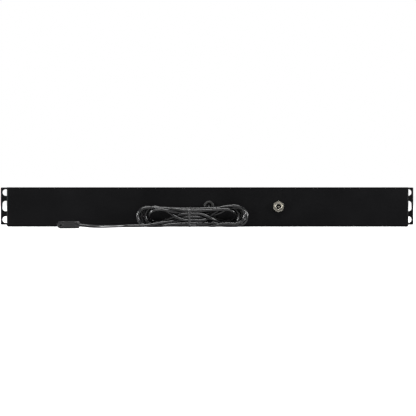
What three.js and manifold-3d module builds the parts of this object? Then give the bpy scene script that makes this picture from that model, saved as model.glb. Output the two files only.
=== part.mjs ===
// A 1U, 19 inch rack-mount cooling unit with a thermostat: four 40 mm fans behind a slotted front
// panel, a display board between them, a sheet steel chassis with a plain back, a low-voltage inlet
// and a remote temperature probe on a captive lead that is folded into a hank.
// Millimetres, +Z up, the front panel faces -Y. Inside the unit group y = 0 is the back face of the
// front panel, which is the face that meets the rack rails, and z = 0 is the underside.
import * as THREE from "three";
import { mergeVertices } from "three/addons/utils/BufferGeometryUtils.js";
import Module from "manifold-3d";

const wasm = await Module();
wasm.setup();

// ---- Driving dimensions -------------------------------------------------------------------------
const gap = 0.3; // clearance between pieces that meet

const panelWidth = 482.6;
const unitHeight = 43.5;
const panelThickness = 3;
const panelCorner = 1;

const earWidth = 19.8;
const bodyDepth = 76; // back face of the panel to the outside of the rear wall
const chassisSheet = 1.2;
const coverSheet = 1.2;
const bendRadius = 2;
const flangeWidth = 9;

const rackHoleInset = 8.75; // from the end of the panel to the column of rack holes
const rackHolePitch = 31.75; // between the upper and the lower rack hole
const rackSlotLength = 14.2;
const rackSlotWidth = 7.6;
const rackMiddleSlotHeight = 12;
const rackMiddleSlotCorner = 3.5;

const fanSize = 40;
const fanDepth = 20;
const fanHoleInset = 4;
const fanDuctWall = 1.4; // at the thinnest
const fanHubRadius = 9.5;
const fanTipClearance = 0.6;
const fanWall = 1.6;
const fanShaftRadius = 1.2;
const fanBladeCount = 7;
const fanEndInset = 61.5; // from the side of the body to the middle of the outer fan
const fanSpacing = 68;

const grilleSlotWidth = 2.8;
const grillePitch = 4.6;
const grilleRows = 7;

const ventWidth = 3;
const ventPitch = 7;
const ventsPerFan = 4;
const ventFront = 30;
const ventRear = 62;

const screwRadius = 1.4;
const screwHeadRadius = 2.7;
const screwHeadHeight = 1.3;
const screwClearance = 0.35;
const coverScrewInset = 21.5; // from the side of the body
const coverScrewLength = 6;
const panelScrewInset = 9.5; // from the side of the body
const panelScrewRise = 12.75; // above and below the middle
const panelScrewLength = 8;
const fanScrewLength = 12;

const windowWidth = 36;
const windowHeight = 17;
const windowCorner = 1.5;
const windowFlange = 1.4;
const windowFlangeThickness = 1;
const windowProud = 0.4;

const boardWidth = 132;
const boardHeight = 34;
const boardThickness = 1.6;
const boardY = 14; // front face of the board
const boardHoleInset = 4.5;
const displayWidth = 32;
const displayHeight = 14;
const standoffRadius = 2.75;
const boardScrewHead = 2.5;
const boardScrewHeadHeight = 1.6;
const boardScrewBite = 6;

const buttonCentres = [34, 45, 56];
const buttonRadius = 3;
const buttonProud = 1.6;
const buttonFlange = 1.1;
const buttonFlangeThickness = 1;
const buttonStemRadius = 1.4;
const buttonTravel = 0.8;
const switchSize = 6;
const switchDepth = 4;
const switchBoreDepth = 2;

const jackX = -77.9;
const jackZ = 22.2;
const jackBushRadius = 4;
const jackBushProud = 3;
const jackNutFlats = 11;
const jackNutThickness = 2.2;
const jackNutTurn = 8; // degrees from a corner straight up
const jackSocketRadius = 2.8;
const jackSocketDepth = 9;
const jackPinRadius = 1.05;
const jackPinShort = 0.7; // the pin ends this far inside the bush
const jackBodyRadius = 5.5;
const jackBodyLength = 11;

const leadX = -1.3;
const leadZ = 23.1;
const cableRadius = 1.6;
const grommetRadius = 5.5;
const grommetNeckRadius = 3.9;
const grommetBoreRadius = 2.9;
const grommetFlange = 1.6;
const stopRadius = 4.4;
const stopLength = 4;
const terminalLength = 66;
const terminalX = -6;
const terminalHeight = 8;
const terminalDepth = 7;
const terminalEnd = 5; // from the end of the strip to the wires at that end
const harnessRadius = 1;

const hankStart = -44.8; // the end on the inlet's side
const hankEnd = 78.2; // the end on the probe's side
const hankHeightInlet = 25.2;
const hankHeightProbe = 22.6;
const hankFront = 4; // from the rear wall to the nearest turns
const hankDepth = 16.4;
const hankTieX = 19.9;
const hankWaistLength = 16;
const hankWaistLow = 1.4;
const hankWaistHigh = 19.4;
const tieWidth = 2.6;
const tieThickness = 0.6;

const probeLength = 23;
const probeHeight = 7.5;
const probeThickness = 6.4;
const probeEyeRadius = 1.3;
const probeEyeInset = 4;
const probeCollarLength = 3.2;
const probeCollarInset = 0.35; // the collar is thinner than the capsule by this on each side

// ---- Lengths that follow from them --------------------------------------------------------------
const bodyWidth = panelWidth - 2 * earWidth;
const middleZ = unitHeight / 2;
const outerFan = bodyWidth / 2 - fanEndInset;
const innerFan = outerFan - fanSpacing;
const fanCentres = [-outerFan, -innerFan, innerFan, outerFan];
const fanBoreRadius = fanSize / 2 - fanDuctWall;
const fanHoleShift = fanSize / 2 - fanHoleInset; // from the middle of the fan to its screws
const fanHoleRadius = screwRadius + screwClearance;
const panelScrewHeights = [middleZ - panelScrewRise, middleZ + panelScrewRise];
const coverScrewX = [-bodyWidth / 2 + coverScrewInset, bodyWidth / 2 - coverScrewInset];
const wallTop = unitHeight - coverSheet - gap;
const innerBack = bodyDepth - chassisSheet;
const boardBack = boardY + boardThickness;
const boardHoleX = boardWidth / 2 - boardHoleInset;
const boardHoleZ = boardHeight / 2 - boardHoleInset;
const panelScrewX = bodyWidth / 2 - panelScrewInset;
const coverScrewRows = [chassisSheet + 8, bodyDepth - chassisSheet - flangeWidth / 2];
const frontY = -panelThickness - buttonProud;
const backY = bodyDepth + jackBushProud;

// ---- Materials ----------------------------------------------------------------------------------
const finish = (color, roughness, metalness) =>
  new THREE.MeshStandardMaterial({ color, roughness, metalness });
const blackPaint = finish(0x1a1a1b, 0.55, 0.2);
const blackPanel = finish(0x161617, 0.45, 0.3);
const nickel = finish(0xb9b7ae, 0.28, 1);
const blackScrew = finish(0x202022, 0.4, 0.8);
const zincScrew = finish(0x9c9ea1, 0.35, 1);
const fanPlastic = finish(0x121213, 0.5, 0);
const blackRubber = finish(0x101011, 0.7, 0);
const cablePlastic = finish(0x1b1b1c, 0.4, 0);
const tiePlastic = finish(0x6e6e72, 0.4, 0);
const probePlastic = finish(0x19191a, 0.35, 0);
const boardGreen = finish(0x11401f, 0.5, 0);
const smokedWindow = finish(0x240608, 0.1, 0);
const displayFace = finish(0x0d0d0e, 0.6, 0);
const buttonPlastic = finish(0x2a2a2c, 0.45, 0);
const terminalPlastic = finish(0xd8d3c4, 0.5, 0);

// ---- Solids -------------------------------------------------------------------------------------
// A three.js geometry as a manifold-3d solid.
function solid(geometry) {
  const bare = geometry.index ? geometry.toNonIndexed() : geometry.clone();
  bare.deleteAttribute("normal");
  bare.deleteAttribute("uv");
  const merged = mergeVertices(bare, 1e-4);
  return new wasm.Manifold(
    new wasm.Mesh({
      numProp: 3,
      vertProperties: merged.attributes.position.array,
      triVerts: new Uint32Array(merged.index.array),
    }),
  );
}

const join = (first, ...others) => others.reduce((all, next) => all.add(next), first);
const cut = (first, ...others) => others.reduce((all, next) => all.subtract(next), first);

// A block between two corners.
function block([x0, y0, z0], [x1, y1, z1]) {
  const geometry = new THREE.BoxGeometry(x1 - x0, y1 - y0, z1 - z0);
  return solid(geometry.translate((x0 + x1) / 2, (y0 + y1) / 2, (z0 + z1) / 2));
}

// A cone along Y, from y0 to y1, with its radius at each end, and a cylinder.
function coneY(x, z, y0, y1, radius, endRadius, sides = 24) {
  const geometry = new THREE.CylinderGeometry(endRadius, radius, y1 - y0, sides);
  return solid(geometry.translate(x, (y0 + y1) / 2, z));
}

const rodY = (x, z, y0, y1, radius, sides = 24) => coneY(x, z, y0, y1, radius, radius, sides);

// The same along Z.
function coneZ(x, y, z0, z1, radius, endRadius, sides = 16) {
  const geometry = new THREE.CylinderGeometry(endRadius, radius, z1 - z0, sides);
  return solid(geometry.rotateX(Math.PI / 2).translate(x, y, (z0 + z1) / 2));
}

const rodZ = (x, y, z0, z1, radius, sides = 16) => coneZ(x, y, z0, z1, radius, radius, sides);

// An outline in x and z, extruded along Y from y0 to y1.
function prismY(shape, y0, y1, curveSegments = 4) {
  const options = { depth: y1 - y0, bevelEnabled: false, curveSegments };
  const geometry = new THREE.ExtrudeGeometry(shape, options);
  return solid(geometry.rotateX(Math.PI / 2).translate(0, y1, 0));
}

// An outline in x and y, extruded along Z from z0 to z1.
function prismZ(shape, z0, z1, curveSegments = 4) {
  const options = { depth: z1 - z0, bevelEnabled: false, curveSegments };
  return solid(new THREE.ExtrudeGeometry(shape, options).translate(0, 0, z0));
}

// An outline in y and z, extruded along X from x0 to x1.
function prismX(shape, x0, x1, curveSegments = 4) {
  const options = { depth: x1 - x0, bevelEnabled: false, curveSegments };
  const turn = new THREE.Matrix4().set(0, 0, 1, 0, 1, 0, 0, 0, 0, 1, 0, 0, 0, 0, 0, 1);
  return solid(new THREE.ExtrudeGeometry(shape, options).applyMatrix4(turn).translate(x0, 0, 0));
}

// A rectangle with its own radius at each corner: lower left, lower right, upper right, upper left.
function roundedOutline(x0, y0, x1, y1, [a, b, c, d]) {
  const shape = new THREE.Shape().moveTo(x0 + a, y0).lineTo(x1 - b, y0);
  if (b) shape.absarc(x1 - b, y0 + b, b, -Math.PI / 2, 0);
  shape.lineTo(x1, y1 - c);
  if (c) shape.absarc(x1 - c, y1 - c, c, 0, Math.PI / 2);
  shape.lineTo(x0 + d, y1);
  if (d) shape.absarc(x0 + d, y1 - d, d, Math.PI / 2, Math.PI);
  shape.lineTo(x0, y0 + a);
  if (a) shape.absarc(x0 + a, y0 + a, a, Math.PI, 1.5 * Math.PI);
  return shape;
}

// A rectangle about a centre with one corner radius.
function roundedBox(x, y, width, height, radius) {
  const [w, h] = [width / 2, height / 2];
  return roundedOutline(x - w, y - h, x + w, y + h, [radius, radius, radius, radius]);
}

// A slot with round ends, its length along the outline's x or, upright, along its y.
function slotOutline(x, y, length, width, upright = false) {
  const [r, half] = [width / 2, (length - width) / 2];
  const [dx, dy] = upright ? [0, half] : [half, 0];
  const turn = upright ? 0 : -Math.PI / 2;
  const shape = new THREE.Shape();
  shape.absarc(x + dx, y + dy, r, turn, turn + Math.PI);
  shape.absarc(x - dx, y - dy, r, turn + Math.PI, turn + 2 * Math.PI);
  return shape.closePath();
}

// A tube of the given radius along a smooth curve through points.
function tube(points, radius, steps, sides = 8) {
  const vectors = points.map((p) => new THREE.Vector3(...p));
  const curve = new THREE.CatmullRomCurve3(vectors, false, "centripetal");
  const section = new THREE.Shape();
  for (let i = 0; i < sides; i++) {
    const angle = (2 * Math.PI * i) / sides;
    const [x, y] = [radius * Math.cos(angle), radius * Math.sin(angle)];
    if (i) section.lineTo(x, y);
    else section.moveTo(x, y);
  }
  const options = { steps, extrudePath: curve, bevelEnabled: false };
  return solid(new THREE.ExtrudeGeometry(section.closePath(), options));
}

// A manifold-3d solid as a named mesh.
function piece(name, shape, material) {
  const made = shape.getMesh();
  const geometry = new THREE.BufferGeometry()
    .setAttribute("position", new THREE.BufferAttribute(new Float32Array(made.vertProperties), 3))
    .setIndex(new THREE.BufferAttribute(new Uint32Array(made.triVerts), 1));
  geometry.computeVertexNormals();
  const mesh = new THREE.Mesh(geometry, material);
  mesh.name = name;
  return mesh;
}

// A countersunk screw along +Y, its head's flat face at y = 0, and the hole that clears it.
function countersunkScrewY(length) {
  const head = coneY(0, 0, 0, screwHeadHeight, screwHeadRadius, screwRadius, 12);
  return join(head, rodY(0, 0, screwHeadHeight - 0.1, length, screwRadius, 8));
}

function countersunkHoleY(x, z, face, through) {
  const sink = screwHeadHeight + 0.1;
  const [wide, narrow] = [screwHeadRadius + screwClearance, screwRadius + screwClearance];
  return join(
    coneY(x, z, face - 0.05, face + sink, wide, narrow, 10),
    rodY(x, z, face + sink - 0.1, through, narrow, 10),
  );
}

// ---- Casing -------------------------------------------------------------------------------------
function frontPanel() {
  let panel = prismY(
    roundedBox(0, middleZ, panelWidth, unitHeight, panelCorner),
    -panelThickness,
    0,
  );
  const [front, back] = [-panelThickness - 1, 1];
  const holes = [];
  for (const side of [-1, 1]) {
    const x = side * (panelWidth / 2 - rackHoleInset);
    for (const level of [-1, 1]) {
      const z = middleZ + (level * rackHolePitch) / 2;
      holes.push(prismY(slotOutline(x, z, rackSlotLength, rackSlotWidth), front, back, 4));
    }
    holes.push(
      prismY(
        roundedBox(x, middleZ, rackSlotLength, rackMiddleSlotHeight, rackMiddleSlotCorner),
        front,
        back,
        3,
      ),
    );
    for (const z of panelScrewHeights)
      holes.push(countersunkHoleY(side * panelScrewX, z, -panelThickness, back));
  }
  const reach = fanBoreRadius - grilleSlotWidth / 4;
  for (const x of fanCentres) {
    for (let row = 0; row < grilleRows; row++) {
      const rise = (row - (grilleRows - 1) / 2) * grillePitch;
      const length = 2 * Math.sqrt(reach ** 2 - rise ** 2);
      holes.push(prismY(slotOutline(x, middleZ + rise, length, grilleSlotWidth), front, back, 1));
    }
    for (const corner of [-1, 1]) {
      const shift = corner * fanHoleShift;
      holes.push(countersunkHoleY(x + shift, middleZ + shift, -panelThickness, back));
    }
  }
  const [lensWidth, lensHeight] = [windowWidth + 2 * gap, windowHeight + 2 * gap];
  holes.push(prismY(roundedBox(0, middleZ, lensWidth, lensHeight, windowCorner), front, back));
  for (const x of buttonCentres)
    holes.push(rodY(x, middleZ, front, back, buttonRadius + gap, 20));
  for (const hole of holes) panel = panel.subtract(hole);
  return piece("front_panel", panel, blackPanel);
}

// The vent slots over or under each fan's plenum.
function ventHoles(z0, z1) {
  const holes = [];
  const [middle, length] = [(ventFront + ventRear) / 2, ventRear - ventFront];
  for (const x of fanCentres)
    for (let i = 0; i < ventsPerFan; i++) {
      const shift = (i - (ventsPerFan - 1) / 2) * ventPitch;
      const outline = slotOutline(x + shift, middle, length, ventWidth, true);
      holes.push(prismZ(outline, z0, z1, 1));
    }
  return holes;
}

// The chassis: floor, rear wall and sides in one bent sheet, with flanges for the cover and the panel.
function chassis() {
  const [half, r, t] = [bodyWidth / 2, bendRadius, chassisSheet];
  const plan = roundedOutline(-half, gap, half, bodyDepth, [0, 0, r, r]);
  const end = roundedOutline(-half, 0, half, wallTop, [r, r, 0, 0]);
  const side = roundedOutline(gap, 0, bodyDepth, wallTop, [0, r, 0, 0]);
  const outer = prismZ(plan, 0, wallTop)
    .intersect(prismY(end, gap, bodyDepth))
    .intersect(prismX(side, -half, half));
  const inner = block([-half + t, -1, t], [half - t, innerBack, wallTop + 1]);
  let body = outer.subtract(inner);
  const lap = 0.1;
  const reach = half - t + lap;
  const flanges = [
    block([-reach, innerBack - flangeWidth, wallTop - t], [reach, innerBack + lap, wallTop]),
  ];
  for (const side of [-1, 1]) {
    const [x0, x1] = [side * (half - t + lap), side * (half - t - 2 * flangeWidth)];
    const [low, high] = [Math.min(x0, x1), Math.max(x0, x1)];
    flanges.push(block([low, gap, t - lap], [high, gap + t, wallTop]));
    const shelf = side * (half - t - 3 * flangeWidth);
    const [shelfLow, shelfHigh] = [Math.min(x0, shelf), Math.max(x0, shelf)];
    flanges.push(block([shelfLow, gap, wallTop - t], [shelfHigh, 2 * flangeWidth, wallTop]));
  }
  body = join(body, ...flanges);
  for (const hole of ventHoles(-1, t + 0.5)) body = body.subtract(hole);
  for (const x of coverScrewX)
    for (const y of coverScrewRows) {
      const r0 = screwRadius + screwClearance;
      body = body.subtract(rodZ(x, y, wallTop - 2 * t, wallTop + 1, r0, 12));
    }
  for (const side of [-1, 1])
    for (const z of panelScrewHeights) {
      const r0 = screwRadius + screwClearance;
      body = body.subtract(rodY(side * panelScrewX, z, -1, 3 * t, r0, 12));
    }
  body = body.subtract(rodY(jackX, jackZ, innerBack - 1, bodyDepth + 1, jackBushRadius + gap));
  body = body.subtract(rodY(leadX, leadZ, innerBack - 1, bodyDepth + 1, grommetNeckRadius + gap));
  return piece("chassis", body, blackPaint);
}

function topCover() {
  const half = bodyWidth / 2;
  const plan = roundedOutline(-half, gap, half, bodyDepth, [0, 0, bendRadius, bendRadius]);
  let cover = prismZ(plan, wallTop + gap, unitHeight);
  for (const hole of ventHoles(wallTop, unitHeight + 1)) cover = cover.subtract(hole);
  for (const x of coverScrewX)
    for (const y of coverScrewRows) {
      const [narrow, wide] = [screwRadius + screwClearance, screwHeadRadius + screwClearance];
      cover = cover.subtract(coneZ(x, y, wallTop, unitHeight + 0.05, narrow, wide));
    }
  return piece("top_cover", cover, blackPaint);
}

function casingScrews() {
  const made = [];
  coverScrewX.forEach((x, i) =>
    coverScrewRows.forEach((y, j) => {
      const screw = piece(`cover_screw_${2 * i + j + 1}`, countersunkScrewY(coverScrewLength), blackScrew);
      screw.rotation.x = -Math.PI / 2;
      screw.position.set(x, y, unitHeight);
      made.push(screw);
    }),
  );
  [-1, 1].forEach((side, i) =>
    panelScrewHeights.forEach((z, j) => {
      const screw = piece(`panel_screw_${2 * i + j + 1}`, countersunkScrewY(panelScrewLength), blackScrew);
      screw.position.set(side * panelScrewX, -panelThickness, z);
      made.push(screw);
    }),
  );
  return made;
}

// ---- Fans ---------------------------------------------------------------------------------------
// A fan frame about its own centre line, front face at y = 0: a square duct, four spokes at the back
// and the tube that holds the shaft.
function fanFrame(index) {
  const bossRadius = fanHubRadius - 0.5;
  const spokeY = fanDepth - 2.5;
  let frame = prismY(roundedBox(0, 0, fanSize, fanSize, 3), 0, fanDepth, 2);
  frame = frame.subtract(rodY(0, 0, -1, fanDepth + 1, fanBoreRadius, 24));
  const spokes = [
    block([-fanBoreRadius - 0.3, spokeY, -1.2], [fanBoreRadius + 0.3, fanDepth, 1.2]),
    block([-1.2, spokeY, -fanBoreRadius - 0.3], [1.2, fanDepth, fanBoreRadius + 0.3]),
    rodY(0, 0, spokeY, fanDepth, bossRadius, 16),
    rodY(0, 0, 5, fanDepth - 1, 3, 12),
  ];
  frame = join(frame, ...spokes);
  frame = frame.subtract(rodY(0, 0, 1, fanDepth - 3, fanShaftRadius + gap, 10));
  for (const x of [-1, 1])
    for (const z of [-1, 1]) {
      frame = frame.subtract(
        rodY(x * fanHoleShift, z * fanHoleShift, -1, fanDepth + 1, fanHoleRadius, 8),
      );
    }
  return piece(`fan_${index}_frame`, frame, fanPlastic);
}

// The impeller: a cup with curved blades and the shaft inside it.
function fanRotor(index) {
  const [front, back] = [1.5, fanDepth - 3.4];
  const tip = fanBoreRadius - fanTipClearance;
  const cup = cut(
    rodY(0, 0, front, back, fanHubRadius, 20),
    rodY(0, 0, front + fanWall, back + 1, fanHubRadius - fanWall, 16),
  );
  const shaft = rodY(0, 0, front + fanWall - 0.1, fanDepth - 4, fanShaftRadius, 8);
  const [rise, bow, thick] = [(back - front) * 0.42, 2.2, 0.9];
  const reach = Math.sqrt(tip ** 2 - rise ** 2);
  const section = new THREE.Shape()
    .moveTo(-rise, -rise)
    .quadraticCurveTo(bow, -bow, rise, rise)
    .lineTo(rise - thick, rise)
    .quadraticCurveTo(bow - thick, -bow + thick, -rise, -rise + thick)
    .closePath();
  const options = { depth: reach - fanHubRadius + 0.8, bevelEnabled: false, curveSegments: 3 };
  let rotor = join(cup, shaft);
  for (let i = 0; i < fanBladeCount; i++) {
    const blade = new THREE.ExtrudeGeometry(section, options)
      .translate(0, (front + back) / 2, fanHubRadius - 0.8)
      .rotateY((2 * Math.PI * i) / fanBladeCount);
    rotor = rotor.add(solid(blade));
  }
  return piece(`fan_${index}_rotor`, rotor, fanPlastic);
}

function fans() {
  const group = new THREE.Group();
  fanCentres.forEach((x, i) => {
    const fan = new THREE.Group();
    fan.position.set(x, gap, middleZ);
    fan.add(fanFrame(i + 1), fanRotor(i + 1));
    [-1, 1].forEach((corner, j) => {
      const screw = piece(`fan_${i + 1}_screw_${j + 1}`, countersunkScrewY(fanScrewLength), blackScrew);
      const shift = corner * fanHoleShift;
      screw.position.set(shift, -panelThickness - gap, shift);
      fan.add(screw);
    });
    group.add(fan);
  });
  return group;
}

// ---- Display and board --------------------------------------------------------------------------
function displayWindow() {
  const lens = prismY(
    roundedBox(0, middleZ, windowWidth, windowHeight, windowCorner),
    -panelThickness - windowProud,
    gap + windowFlangeThickness,
  );
  const grow = 2 * windowFlange;
  const flange = prismY(
    roundedBox(0, middleZ, windowWidth + grow, windowHeight + grow, windowCorner + windowFlange),
    gap,
    gap + windowFlangeThickness,
  );
  return piece("display_window", join(lens, flange), smokedWindow);
}

function displayModule() {
  const front = 2 * gap + windowFlangeThickness;
  const shape = prismY(roundedBox(0, middleZ, displayWidth, displayHeight, 0.6), front, boardY - gap);
  return piece("display_module", shape, displayFace);
}

function board() {
  let plate = prismY(roundedBox(0, middleZ, boardWidth, boardHeight, 0), boardY, boardBack);
  for (const x of [-1, 1])
    for (const z of [-1, 1])
      plate = plate.subtract(
        rodY(x * boardHoleX, middleZ + z * boardHoleZ, boardY - 1, boardBack + 1, screwRadius + gap, 12),
      );
  return piece("control_board", plate, boardGreen);
}

function boardFixings() {
  const made = [];
  const bite = boardY - gap - boardScrewBite;
  const [headBack, headFront] = [boardBack + gap + boardScrewHeadHeight, boardBack + gap];
  [-1, 1].forEach((sx, i) =>
    [-1, 1].forEach((sz, j) => {
      const [x, z, number] = [sx * boardHoleX, middleZ + sz * boardHoleZ, 2 * i + j + 1];
      const pillar = rodY(x, z, gap, boardY - gap, standoffRadius, 6);
      const bore = rodY(x, z, bite, boardY, screwRadius + gap, 12);
      made.push(piece(`standoff_${number}`, pillar.subtract(bore), nickel));
      const screw = join(
        rodY(x, z, bite + gap, headFront + 0.1, screwRadius, 10),
        coneY(x, z, headFront, headBack, boardScrewHead, boardScrewHead * 0.8, 14),
      );
      made.push(piece(`board_screw_${number}`, screw, zincScrew));
    }),
  );
  return made;
}

function buttons() {
  const made = [];
  const switchFront = boardY - gap - switchDepth;
  const stemEnd = switchFront + switchBoreDepth - gap - buttonTravel;
  buttonCentres.forEach((x, i) => {
    const cap = join(
      rodY(x, middleZ, frontY + 0.5, gap + 0.1, buttonRadius, 16),
      coneY(x, middleZ, frontY, frontY + 0.5, buttonRadius - 0.5, buttonRadius, 16),
      rodY(x, middleZ, gap, gap + buttonFlangeThickness, buttonRadius + buttonFlange, 14),
      rodY(x, middleZ, gap, stemEnd, buttonStemRadius, 8),
    );
    made.push(piece(`button_${i + 1}`, cap, buttonPlastic));
    const body = block(
      [x - switchSize / 2, switchFront, middleZ - switchSize / 2],
      [x + switchSize / 2, boardY - gap, middleZ + switchSize / 2],
    );
    const boreEnd = switchFront + switchBoreDepth;
    const bore = rodY(x, middleZ, switchFront - 1, boreEnd, buttonStemRadius + gap, 12);
    made.push(piece(`switch_${i + 1}`, body.subtract(bore), displayFace));
  });
  return made;
}

// ---- Inlet, grommet and the wiring inside -------------------------------------------------------
function powerInlet() {
  const inside = innerBack - gap;
  const bushEnd = bodyDepth + jackBushProud;
  const socket = rodY(jackX, jackZ, bushEnd - jackSocketDepth, bushEnd + 1, jackSocketRadius);
  const body = cut(
    join(
      rodY(jackX, jackZ, inside - jackBodyLength, inside, jackBodyRadius),
      rodY(jackX, jackZ, inside - 0.1, bushEnd, jackBushRadius),
    ),
    socket,
  );
  const [pinBase, pinEnd] = [bushEnd - jackSocketDepth + gap, bushEnd - jackPinShort];
  const pin = join(
    rodY(jackX, jackZ, pinBase, pinEnd - 0.4, jackPinRadius, 14),
    coneY(jackX, jackZ, pinEnd - 0.4, pinEnd, jackPinRadius, jackPinRadius * 0.55, 14),
  );
  const nutBack = bodyDepth + gap;
  const corner = jackNutFlats / Math.sqrt(3);
  const hex = new THREE.CylinderGeometry(corner, corner, jackNutThickness, 6)
    .rotateY(THREE.MathUtils.degToRad(-jackNutTurn))
    .translate(jackX, nutBack + jackNutThickness / 2, jackZ);
  const nutFront = nutBack + jackNutThickness;
  const chamfer = coneY(jackX, jackZ, nutBack - 1, nutFront, corner + 0.6, corner - 0.6, 36);
  const nut = cut(
    solid(hex).intersect(chamfer),
    rodY(jackX, jackZ, bodyDepth, backY + 1, jackBushRadius + gap),
  );
  return [
    piece("power_inlet_body", body, nickel),
    piece("power_inlet_pin", pin, nickel),
    piece("power_inlet_nut", nut, nickel),
  ];
}

function leadEntry() {
  const face = bodyDepth + gap + grommetFlange;
  const inner = innerBack - gap - grommetFlange;
  const grommet = cut(
    join(
      coneY(leadX, leadZ, inner, innerBack - gap, grommetRadius - 0.5, grommetRadius, 20),
      rodY(leadX, leadZ, inner + 0.5, face - 0.5, grommetNeckRadius, 20),
      coneY(leadX, leadZ, bodyDepth + gap, face, grommetRadius, grommetRadius - 0.7, 20),
    ),
    rodY(leadX, leadZ, inner - 1, face + 1, grommetBoreRadius, 20),
  );
  const stopBack = inner - gap;
  const stop = cut(
    rodY(leadX, leadZ, stopBack - stopLength, stopBack, stopRadius, 20),
    rodY(leadX, leadZ, stopBack - stopLength - 1, stopBack + 1, cableRadius + gap, 16),
  );
  const stripY = boardBack + gap + terminalDepth;
  const stripX = terminalX + terminalLength / 2 - terminalEnd;
  const points = [
    [leadX, face - 0.2, leadZ],
    [leadX, stopBack - stopLength, leadZ],
    [leadX + 2, stopBack - stopLength - 6, leadZ - 1],
    [(leadX + stripX) / 2, (stopBack + stripY) / 2, (leadZ + middleZ) / 2],
    [stripX, stripY + 7, middleZ],
    [stripX, stripY + gap, middleZ],
  ];
  return [
    piece("cable_grommet", grommet, blackRubber),
    piece("lead_stop_collar", stop, fanPlastic),
    piece("lead_inside", tube(points, cableRadius, 12), cablePlastic),
  ];
}

// The strip on the back of the board that takes the probe lead, the supply and the fan leads.
function terminalStrip() {
  const shape = block(
    [terminalX - terminalLength / 2, boardBack + gap, middleZ - terminalHeight / 2],
    [terminalX + terminalLength / 2, boardBack + gap + terminalDepth, middleZ + terminalHeight / 2],
  );
  return piece("terminal_strip", shape, terminalPlastic);
}

function wiring() {
  const plugY = boardBack + 2 * gap + terminalDepth;
  const plugX = terminalX - terminalLength / 2 + terminalEnd;
  const jackBack = innerBack - 2 * gap - jackBodyLength;
  const power = tube(
    [
      [jackX, jackBack, jackZ],
      [jackX, jackBack - 5, jackZ],
      [(jackX + plugX) / 2, (jackBack + plugY) / 2 + 3, middleZ - 4],
      [plugX, plugY + 7, middleZ],
      [plugX, plugY, middleZ],
    ],
    harnessRadius + 0.3,
    12,
  );
  const made = [piece("power_lead", power, cablePlastic)];
  const fanBack = gap + fanDepth + gap;
  const exitX = fanSize / 2 - 3;
  [-1, 1].forEach((side, i) => {
    const [outer, inner] = [fanCentres.at(side === 1 ? 3 : 0), fanCentres.at(side === 1 ? 2 : 1)];
    const run = [
      [outer - side * exitX, fanBack, middleZ - 8],
      [outer - side * exitX, fanBack + 4, middleZ - 8],
      [outer - side * (exitX + 8), fanBack + 6, middleZ - 8],
      [inner, fanBack + 6, middleZ - 9],
      [inner - side * (exitX + 12), fanBack + 6, middleZ - 8],
      [side * (boardHoleX - 4), boardBack + 12, middleZ - 4],
      [side * (boardHoleX - 6), boardBack + 6, middleZ - 2],
      [side * (boardHoleX - 6), boardBack + gap, middleZ - 2],
    ];
    const branch = [
      [inner - side * exitX, fanBack, middleZ - 8],
      [inner - side * exitX, fanBack + 3, middleZ - 8],
      [inner - side * (exitX + 2), fanBack + 5.6, middleZ - 8.2],
    ];
    const loom = join(tube(run, harnessRadius, 16, 6), tube(branch, harnessRadius, 3, 6));
    made.push(piece(`fan_harness_${i + 1}`, loom, cablePlastic));
  });
  return made;
}

// ---- Probe lead, outside ------------------------------------------------------------------------
// Points behind the unit: y is counted from the outside of the rear wall.
const leadPoints = [
  [-1.3, 2.2, 23.1],
  [-1.3, 3.6, 22.8],
  [-1.3, 4.8, 22.1],
  [-1.3, 5.6, 21.1],
];
const tailPoints = [
  [75.6, 18.7, 1.7],
  [82, 19.6, 1.7],
  [89, 22.4, 1.7],
  [96, 27.4, 1.7],
  [103, 33.8, 1.7],
  [110, 40.2, 1.7],
  [117, 46, 1.8],
  [124, 50.2, 2.2],
  [130.5, 52.6, 2.9],
  [136, 53.6, 3.6],
];

// The folded lead stands on its long edge, a solid block of the outer shape of its turns.
function hank() {
  const [low, high] = [hankHeightProbe / 2, hankHeightInlet / 2];
  const [start, end] = [hankStart + high, hankEnd - low];
  const outline = new THREE.Shape()
    .moveTo(start, 0)
    .lineTo(hankTieX - hankWaistLength / 2, hankWaistLow)
    .lineTo(hankTieX + hankWaistLength / 2, hankWaistLow)
    .lineTo(end, 0)
    .absarc(end, low, low, -Math.PI / 2, Math.PI / 2)
    .lineTo(hankTieX + hankWaistLength / 2, hankWaistHigh)
    .lineTo(hankTieX - hankWaistLength / 2, hankWaistHigh)
    .lineTo(leadX - hankWaistLength / 2, hankWaistHigh)
    .lineTo(start, 2 * high)
    .absarc(start, high, high, Math.PI / 2, 1.5 * Math.PI);
  return piece("probe_lead_hank", prismY(outline, hankFront, hankFront + hankDepth, 10), cablePlastic);
}

// The wire tie is a band round the waist of the hank.
function wireTie() {
  const [y0, y1] = [hankFront - gap, hankFront + hankDepth + gap];
  const [z0, z1] = [hankWaistLow - gap, hankWaistHigh + gap];
  const [x0, x1, t] = [hankTieX - tieWidth / 2, hankTieX + tieWidth / 2, tieThickness];
  const outside = block([x0, y0 - t, z0 - t], [x1, y1 + t, z1 + t]);
  const inside = block([x0 - 1, y0, z0], [x1 + 1, y1, z1]);
  return piece("wire_tie", outside.subtract(inside), tiePlastic);
}

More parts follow.
